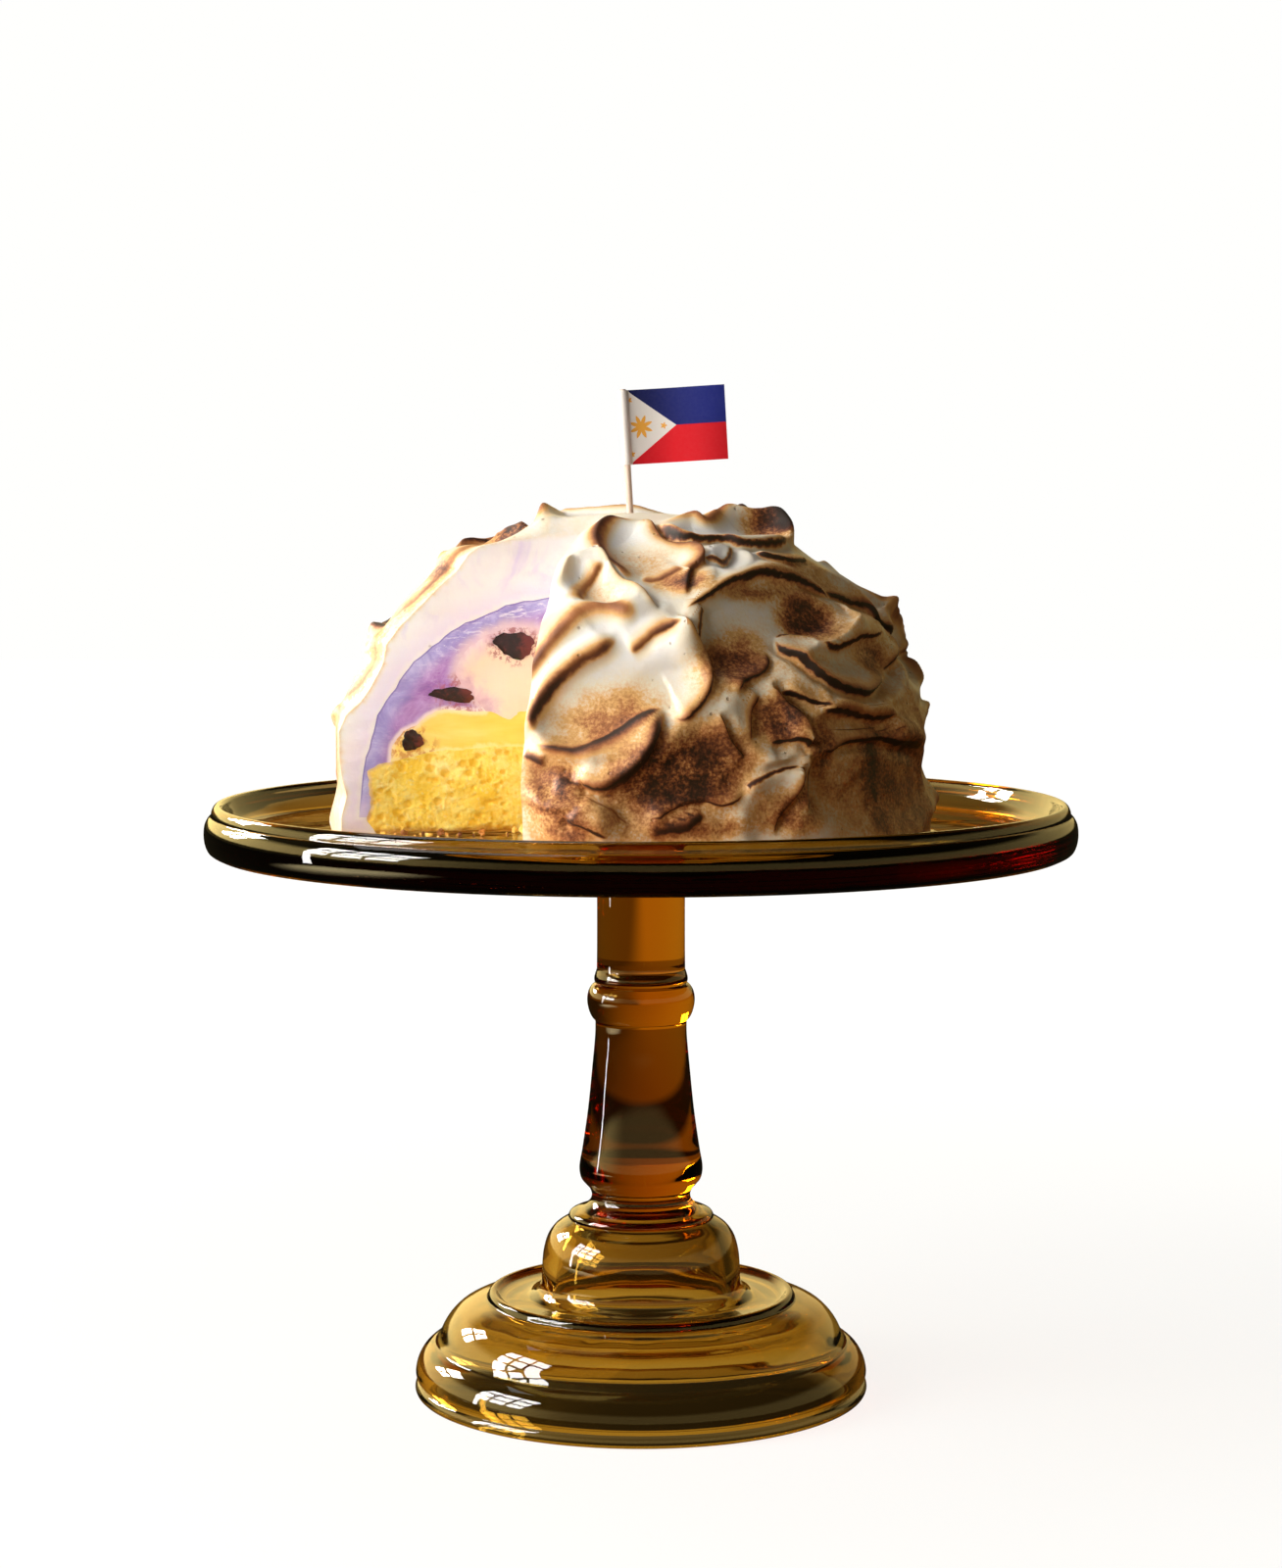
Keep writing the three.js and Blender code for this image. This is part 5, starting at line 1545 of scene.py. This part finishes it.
def build_cherry(number, face, out, up, long, tall, tilt, juice):
    outward = 1.0 if face == SLICE_LEFT else -1.0
    radial, normal = section_axes(math.radians(face), outward)
    x, y, z = cherry_ball(number, long, tall)
    c, s = math.cos(math.radians(tilt)), math.sin(math.radians(tilt))
    local = np.stack([x * c - y * s, x * s + y * c, z], -1).reshape(-1, 3)
    local = np.vstack([local, [[0, 0, FACE_MIDDLE], [0, 0, -CHERRY_DEPTH / 2]]])
    corners = local @ np.array([radial, [0, 0, 1], normal]) + radial * out
    corners += [CAKE_X, 0, PLATE_TOP + up]
    faces = column_faces(CHERRY_SIDES, CHERRY_RINGS - 1, closed=True)
    if outward > 0:
        faces = [face[::-1] for face in faces]
    juices = np.clip(juice - local[:, 0] / long * 1.6, 0, 1)
    piece = new_piece(f"cherry_half_{number}", corners, faces, CHERRY, {"juice": juices})
    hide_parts(f"cherry_{number}")
    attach(piece, "root")


for number, row in enumerate(CHERRIES, 1):
    build_cherry(number, *row)

# %% [markdown]
# ## Crumbs
# The knife drags crumbs out of the sponge and flakes off the browned skin, and they stay on the
# plate beside the two cuts. Placing more than fifty by hand would be slow, so a Geometry Nodes
# tree strews them: points on narrow strips, a lumpy ball on each, turned and sized at random.
# The seed is fixed, so they lie the same way each time.

# %% Crumb material
def make_crumb():
    finish = Finish("cake_crumb", Roughness=0.85)
    colour = finish.ramp(
        finish.mark("tone"),
        (0.30, (1.0, 0.76, 0.20)), (0.55, (0.96, 0.60, 0.09)), (0.72, (0.60, 0.25, 0.05)),
        (0.90, (0.20, 0.07, 0.02)),
    )
    return finish.done(colour, finish.noise(900.0), 0.6, 0.0004)


CRUMB = make_crumb()


# %% Crumb tree
def make_crumb_tree():
    tree = bpy.data.node_groups.new("strewn_crumbs", "GeometryNodeTree")
    tree.interface.new_socket("Geometry", in_out="OUTPUT", socket_type="NodeSocketGeometry")
    for name, kind in (("Strips", "Geometry"), ("Crumbs per square metre", "Float"), ("Smallest", "Float"),
                       ("Largest", "Float"), ("Seed", "Int"), ("Material", "Material")):
        tree.interface.new_socket(name, in_out="INPUT", socket_type=f"NodeSocket{kind}")
    given = put(tree, "NodeGroupInput").outputs

    points = wire(tree, "GeometryNodeDistributePointsOnFaces", "Points", {
        "Mesh": given["Strips"], "Density": given["Crumbs per square metre"], "Seed": given["Seed"],
    })
    chance = wire(tree, "FunctionNodeRandomValue", 1, {"Seed": given["Seed"]}, data_type="FLOAT")
    size = wire(tree, "ShaderNodeMapRange", "Result", {
        "Value": chance.math("POWER", 3.0), "To Min": given["Smallest"], "To Max": given["Largest"],
    })
    lift = wire(tree, "ShaderNodeCombineXYZ", 0, {"Z": size * 0.46})
    points = wire(tree, "GeometryNodeSetPosition", 0, {"Geometry": points, "Offset": lift})

    ball = wire(tree, "GeometryNodeMeshIcoSphere", "Mesh", {"Radius": 0.5, "Subdivisions": 2})
    lumps = wire(tree, "ShaderNodeTexNoise", "Color", {"Scale": 2.6, "Detail": 2.0})
    dent = wire(tree, "ShaderNodeVectorMath", 0, {0: lumps, 1: (0.5, 0.5, 0.5)}, operation="SUBTRACT")
    dent = wire(tree, "ShaderNodeVectorMath", 0, {0: dent, "Scale": 1.1}, operation="SCALE")
    lump = wire(tree, "GeometryNodeSetPosition", 0, {"Geometry": ball, "Offset": dent})

    turn = wire(tree, "FunctionNodeRandomValue", 0, {1: (6.28, 6.28, 6.28), "Seed": 5},
                data_type="FLOAT_VECTOR")
    strewn = wire(tree, "GeometryNodeInstanceOnPoints", 0, {
        "Points": points, "Instance": lump, "Rotation": turn, "Scale": size,
    })
    tone = wire(tree, "FunctionNodeRandomValue", 1, {"Seed": 9}, data_type="FLOAT")
    strewn = wire(tree, "GeometryNodeStoreNamedAttribute", 0, {
        "Geometry": strewn, "Name": "tone", "Value": tone,
    }, data_type="FLOAT", domain="INSTANCE")
    loose = wire(tree, "GeometryNodeRealizeInstances", 0, {"Geometry": strewn})
    finished = wire(tree, "GeometryNodeSetMaterial", 0, {"Geometry": loose, "Material": given["Material"]})
    put(tree, "NodeGroupOutput", {"Geometry": finished})
    return tree


# %% Strew the crumbs
CRUMB_STRIPS = [
    (SLICE_LEFT, 1, 18, 94, 1.6, 5.5),
    (SLICE_LEFT, 1, 26, 88, 1.6, 15),
    (SLICE_RIGHT, -1, 50, 97, 1.6, 9),
]
CRUMB_SIZES = {
    "Crumbs per square metre": 38000.0, "Smallest": 0.7 * MM, "Largest": 3.4 * MM, "Seed": 4,
    "Material": CRUMB,
}
STRIP_HEIGHT = PLATE_TOP + 0.05


def strip_corners(cut, side, start, end, near, far):
    """A strip beside a cut: from start to end along it, and from near to far away from it."""
    radial, away = section_axes(math.radians(cut), side)
    ring = [(start, near), (end, near), (end, far), (start, far)]
    places = [radial * along + away * aside + (CAKE_X, 0, STRIP_HEIGHT) for along, aside in ring]
    return [tuple(place * MM) for place in places]


def strew_crumbs():
    mesh = bpy.data.meshes.new("crumb_strips")
    corners = [corner for strip in CRUMB_STRIPS for corner in strip_corners(*strip)]
    mesh.from_pydata(corners, [], [tuple(range(4 * k, 4 * k + 4)) for k in range(len(CRUMB_STRIPS))])
    crumbs = bpy.data.objects.new("crumbs", mesh)
    scene.collection.objects.link(crumbs)
    tree = make_crumb_tree()
    modifier = crumbs.modifiers.new("strew", "NODES")
    modifier.node_group = tree
    for item in tree.interface.items_tree:
        if item.in_out == "INPUT" and item.name in CRUMB_SIZES:
            modifier[item.identifier] = CRUMB_SIZES[item.name]
    made = bpy.data.meshes.new_from_object(crumbs.evaluated_get(bpy.context.evaluated_depsgraph_get()))
    crumbs.modifiers.remove(modifier)
    crumbs.data = made
    print("crumbs", len(made.polygons), "faces")
    return crumbs


crumbs = strew_crumbs()
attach(crumbs, "root")

# %% [markdown]
# ## Flag and pick
# The flag is one strip of paper folded round the pick and glued to itself. Its print is simple
# fields of colour, so it is drawn by the shader from the paper's own UV map: two bars, a
# triangle at the hoist, a rayed sun and three stars. The bars also carry painted light and
# shade along the flag: the blue grows lighter from hoist to fly, and the red is brightest in the
# middle.

# %% Pick
PICK_RADIUS = 1.2
PICK_LENGTH = 62.0
PICK_POINT = 6.0
PICK_SIDES = 24
PICK_LEAN = math.radians(-3.4)
PICK_FOOT = np.array([CAKE_X + 0.6, 8, PLATE_TOP + 92])


def lean_with_pick(corners):
    x, y, z = np.asarray(corners, float).T
    c, s = math.cos(PICK_LEAN), math.sin(PICK_LEAN)
    return np.stack([x * c + z * s, y, z * c - x * s], 1) + PICK_FOOT


def make_pick_wood():
    finish = Finish("pick_wood", Roughness=0.6)
    fibre = finish.noise(120.0, 4.0, 0.6, place=finish.stretched((12, 12, 1)))
    colour = finish.ramp(
        fibre, (0.3, (0.62, 0.44, 0.33)), (0.6, (0.82, 0.66, 0.55)), (0.8, (0.90, 0.79, 0.70)))
    return finish.done(colour, fibre, 0.3, 0.0003)


pick_profile = np.vstack([
    [[0, PICK_LENGTH], [PICK_RADIUS * 0.8, PICK_LENGTH], [PICK_RADIUS, PICK_LENGTH - 0.3]],
    [[PICK_RADIUS, z] for z in np.linspace(PICK_LENGTH - 4, PICK_POINT, 12)],
    [[PICK_RADIUS * 0.72, 3], [PICK_RADIUS * 0.3, 0.1], [0, 0]],
])
pick_corners, pick_faces = turned(pick_profile, PICK_SIDES)
pick = new_piece("pick", lean_with_pick(pick_corners), pick_faces, make_pick_wood())
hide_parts("flag_pick")
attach(pick, "root")

# %% Star group
FLAG_LENGTH, FLAG_HEIGHT, PAPER = 34.0, 26.0, 0.35
FLAG_HALF = FLAG_HEIGHT / 2


def make_star_mask():
    """1 inside a star: its edge runs between two radii as the bearing goes round."""
    group, given, result = new_group(
        "star_mask", ["Across", "Up", "Centre Across", "Centre Up", "Outer", "Inner", "Rays", "Turn"],
        ["Mask"])
    x = given["Across"] - given["Centre Across"]
    y = given["Up"] - given["Centre Up"]
    length = (x * x + y * y).math("SQRT")
    bearing = y.math("ARCTAN2", x) + given["Turn"]
    to_ray = (bearing * (given["Rays"] / (2 * math.pi))).math("PINGPONG", 0.5)
    edge = given["Outer"] + to_ray * 2.0 * (given["Inner"] - given["Outer"])
    feed(result["Mask"], length.math("LESS_THAN", edge))
    return group


STAR_MASK = make_star_mask()


# %% Flag print
# Tone of the bars from hoist to fly: these changes are painted light and shade, not print.
NAVY = ((0.0, (0.008, 0.012, 0.09)), (0.5, (0.010, 0.016, 0.15)), (1.0, (0.010, 0.018, 0.20)))
CRIMSON = ((0.0, (0.66, 0.006, 0.016)), (0.5, (0.74, 0.008, 0.018)), (1.0, (0.62, 0.005, 0.014)))
WHITE = (0.86, 0.82, 0.78)
GOLD = (0.88, 0.42, 0.06)
STARS = [
    (5.6, FLAG_HALF, 4.3, 1.7, 8, math.pi / 8),
    (1.9, FLAG_HEIGHT - 3.6, 1.25, 0.5, 5, 0.5),
    (1.9, 3.6, 1.25, 0.5, 5, 0.9),
    (13.6, FLAG_HALF, 1.25, 0.5, 5, 0.0),
]


def make_flag_paper():
    finish = Finish("flag_paper", Roughness=0.75, Specular_IOR_Level=0.15)
    uv = wire(finish.tree, "ShaderNodeUVMap", "UV", uv_map="print")
    parts = put(finish.tree, "ShaderNodeSeparateXYZ", {"Vector": uv}).outputs
    across, up = Wire(parts["X"]), Wire(parts["Y"])
    along = across.between(0, FLAG_LENGTH)
    upper = up.math("GREATER_THAN", FLAG_HALF)
    colour = finish.mix(upper, finish.ramp(along, *CRIMSON), finish.ramp(along, *NAVY))
    from_middle = (up - FLAG_HALF).math("ABSOLUTE")
    reach = (from_middle / FLAG_HALF * -1.0 + 1.0) * 17.0
    colour = finish.mix(across.math("LESS_THAN", reach + 1.0), colour, WHITE)
    for centre_across, centre_up, outer, inner, rays, turn in STARS:
        inside = wire(finish.tree, "ShaderNodeGroup", "Mask", {
            "Across": across, "Up": up, "Centre Across": centre_across, "Centre Up": centre_up,
            "Outer": outer, "Inner": inner, "Rays": rays, "Turn": turn,
        }, node_tree=STAR_MASK)
        colour = finish.mix(inside, colour, GOLD)
    fibre = finish.noise(900.0, 3.0, 0.6)
    grey = finish.ramp(fibre, (0.3, (0.3, 0.3, 0.3)), (0.7, (0.9, 0.9, 0.9)))
    return finish.done(finish.mix(0.012, colour, grey), fibre, 0.15, 0.0002)


# %% Flag sheet
FLAG_ROWS = 25
SLEEVE_STEPS, TAIL_STEPS = 28, 60
SLEEVE_GAP = 0.12
SLEEVE_OPENING = 0.12
WAVE, FLUTTER = 1.3, 0.35
PICK_SHOWS = 0.4


def flag_middle():
    """The paper's middle line seen from above: the sleeve, then the waving tail."""
    radius = PICK_RADIUS + SLEEVE_GAP + PAPER / 2
    bearings = np.linspace(SLEEVE_OPENING, 2 * np.pi - SLEEVE_OPENING, SLEEVE_STEPS)
    sleeve = np.stack([radius * np.cos(bearings), radius * np.sin(bearings)], 1)
    along = np.linspace(0, FLAG_LENGTH, TAIL_STEPS)[1:]
    tail = np.stack([along + radius, WAVE * np.sin(along / FLAG_LENGTH * math.pi * 1.6)], 1)
    return np.vstack([sleeve, tail]), np.concatenate([np.zeros(len(sleeve)), tail[:, 0]])


def sheet_faces(width, height):
    """Faces of a thin sheet: two grids of points, back to back, closed round their edges."""
    front = np.arange(width * height).reshape(height, width)
    back = front + width * height
    quads = [
        [front[:-1, :-1], front[:-1, 1:], front[1:, 1:], front[1:, :-1]],
        [back[:-1, :-1], back[1:, :-1], back[1:, 1:], back[:-1, 1:]],
    ]
    faces = [face for side in quads for face in np.stack(side, -1).reshape(-1, 4).tolist()]
    rim = np.concatenate([front[0], front[1:, -1], front[-1, -2::-1], front[-2:0:-1, 0]])
    after = np.roll(rim, -1)
    return faces + np.stack([rim, rim + width * height, after + width * height, after], -1).tolist()


def build_flag(material):
    middle, across = flag_middle()
    base = PICK_LENGTH - FLAG_HEIGHT - PICK_SHOWS
    tangent = np.gradient(middle, axis=0)
    tangent /= np.linalg.norm(tangent, axis=1, keepdims=True)
    normal = np.stack([tangent[:, 1], -tangent[:, 0]], 1)
    corners, prints = [], []
    for side in (0.5, -0.5):
        for row in np.linspace(0, 1, FLAG_ROWS):
            flutter = FLUTTER * np.sin(row * 4 + 1) * (across / FLAG_LENGTH) ** 2
            x, y = (middle + normal * (side * PAPER)).T
            corners.append(np.stack([x, y + flutter, np.full(len(x), base + row * FLAG_HEIGHT)], 1))
            prints.append(np.stack([across, np.full(len(x), row * FLAG_HEIGHT)], 1))
    faces = sheet_faces(len(middle), FLAG_ROWS)
    piece = new_piece("paper_flag", lean_with_pick(np.vstack(corners)), faces, material)
    corner_of_loop = np.empty(len(piece.data.loops), np.int32)
    piece.data.loops.foreach_get("vertex_index", corner_of_loop)
    uvs = np.vstack(prints)[corner_of_loop].astype(np.float32)
    piece.data.uv_layers.new(name="print").data.foreach_set("uv", uvs.ravel())
    return piece


flag = build_flag(make_flag_paper())
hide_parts("flag_paper")
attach(flag, "root")

# %% [markdown]
# ## Floor finish
# To the camera the floor is one white sheet with the room, a little greyer in the soft shadow
# round the foot. Seen through the glass it shows rings of painted tone, because clear glass only
# shows its mouldings by bending something uneven: a painted shadow under the foot, and painted
# light that is stronger on the left, the window's side. The food gets a dim warm light from it,
# and highlights mirror one bright pool, which stands for the sunlit part of a table.

# %% Floor material
def make_floor_paint():
    finish = Finish("floor_paint", Roughness=0.8)
    feed(finish.shader.inputs["Base Color"], finish.ramp(
        finish.noise(6.0, 2.0), (0.3, (0.34, 0.29, 0.24)), (0.7, (0.38, 0.33, 0.28))))
    tree, place = finish.tree, finish.place
    away = wire(tree, "ShaderNodeVectorMath", "Value", {0: place}, operation="LENGTH")
    glow = put(tree, "ShaderNodeEmission", {
        "Color": ROOM_WHITE, "Strength": away.between(0.12, 1.0, 0.86, 1.0),
    })
    grey = put(tree, "ShaderNodeBsdfDiffuse", {"Color": (0.16, 0.16, 0.16)})
    white = put(tree, "ShaderNodeAddShader", {0: glow.outputs[0], 1: grey.outputs[0]})
    # Painted shadow: seen through the glass, the floor is nearly black within 68 mm of the axis, under the
    # foot.
    rings = finish.ramp(
        away,
        (0.068, (0.02, 0.015, 0.01)), (0.082, (0.40, 0.34, 0.28)), (0.100, (0.38, 0.32, 0.26)),
        (0.106, (0.18, 0.13, 0.08)), (0.120, (0.22, 0.16, 0.10)), (0.132, (0.30, 0.25, 0.19)),
        (0.21, (0.26, 0.22, 0.17)), (0.24, (0.02, 0.015, 0.01)), (0.33, (0.02, 0.015, 0.01)),
        (0.36, (0.22, 0.175, 0.15)), (0.90, (0.24, 0.19, 0.16)), (1.0, (0.5, 0.42, 0.32)),
    )
    # Painted light: seen through the glass, the floor is brighter on the left, the window's side, and dimmer
    # on the right.
    across = wire(tree, "ShaderNodeSeparateXYZ", "X", {0: place})
    through = put(tree, "ShaderNodeEmission", {
        "Color": rings, "Strength": across.between(-0.12, 0.25, 1.25, 0.35),
    })
    from_pool = wire(tree, "ShaderNodeVectorMath", "Value", {0: place, 1: (-0.8, -0.22, 0)},
                     operation="DISTANCE")
    pool = put(tree, "ShaderNodeEmission", {
        "Color": (1.0, 0.82, 0.42), "Strength": from_pool.between(0.12, 0.42, 5.0, 0.015),
    })
    feed(finish.out.inputs["Surface"], by_ray(tree, pool, {
        "Is Transmission Ray": through, "Is Diffuse Ray": finish.shader, "Is Camera Ray": white,
    }))
    return finish.material


floor_mesh.materials.append(make_floor_paint())
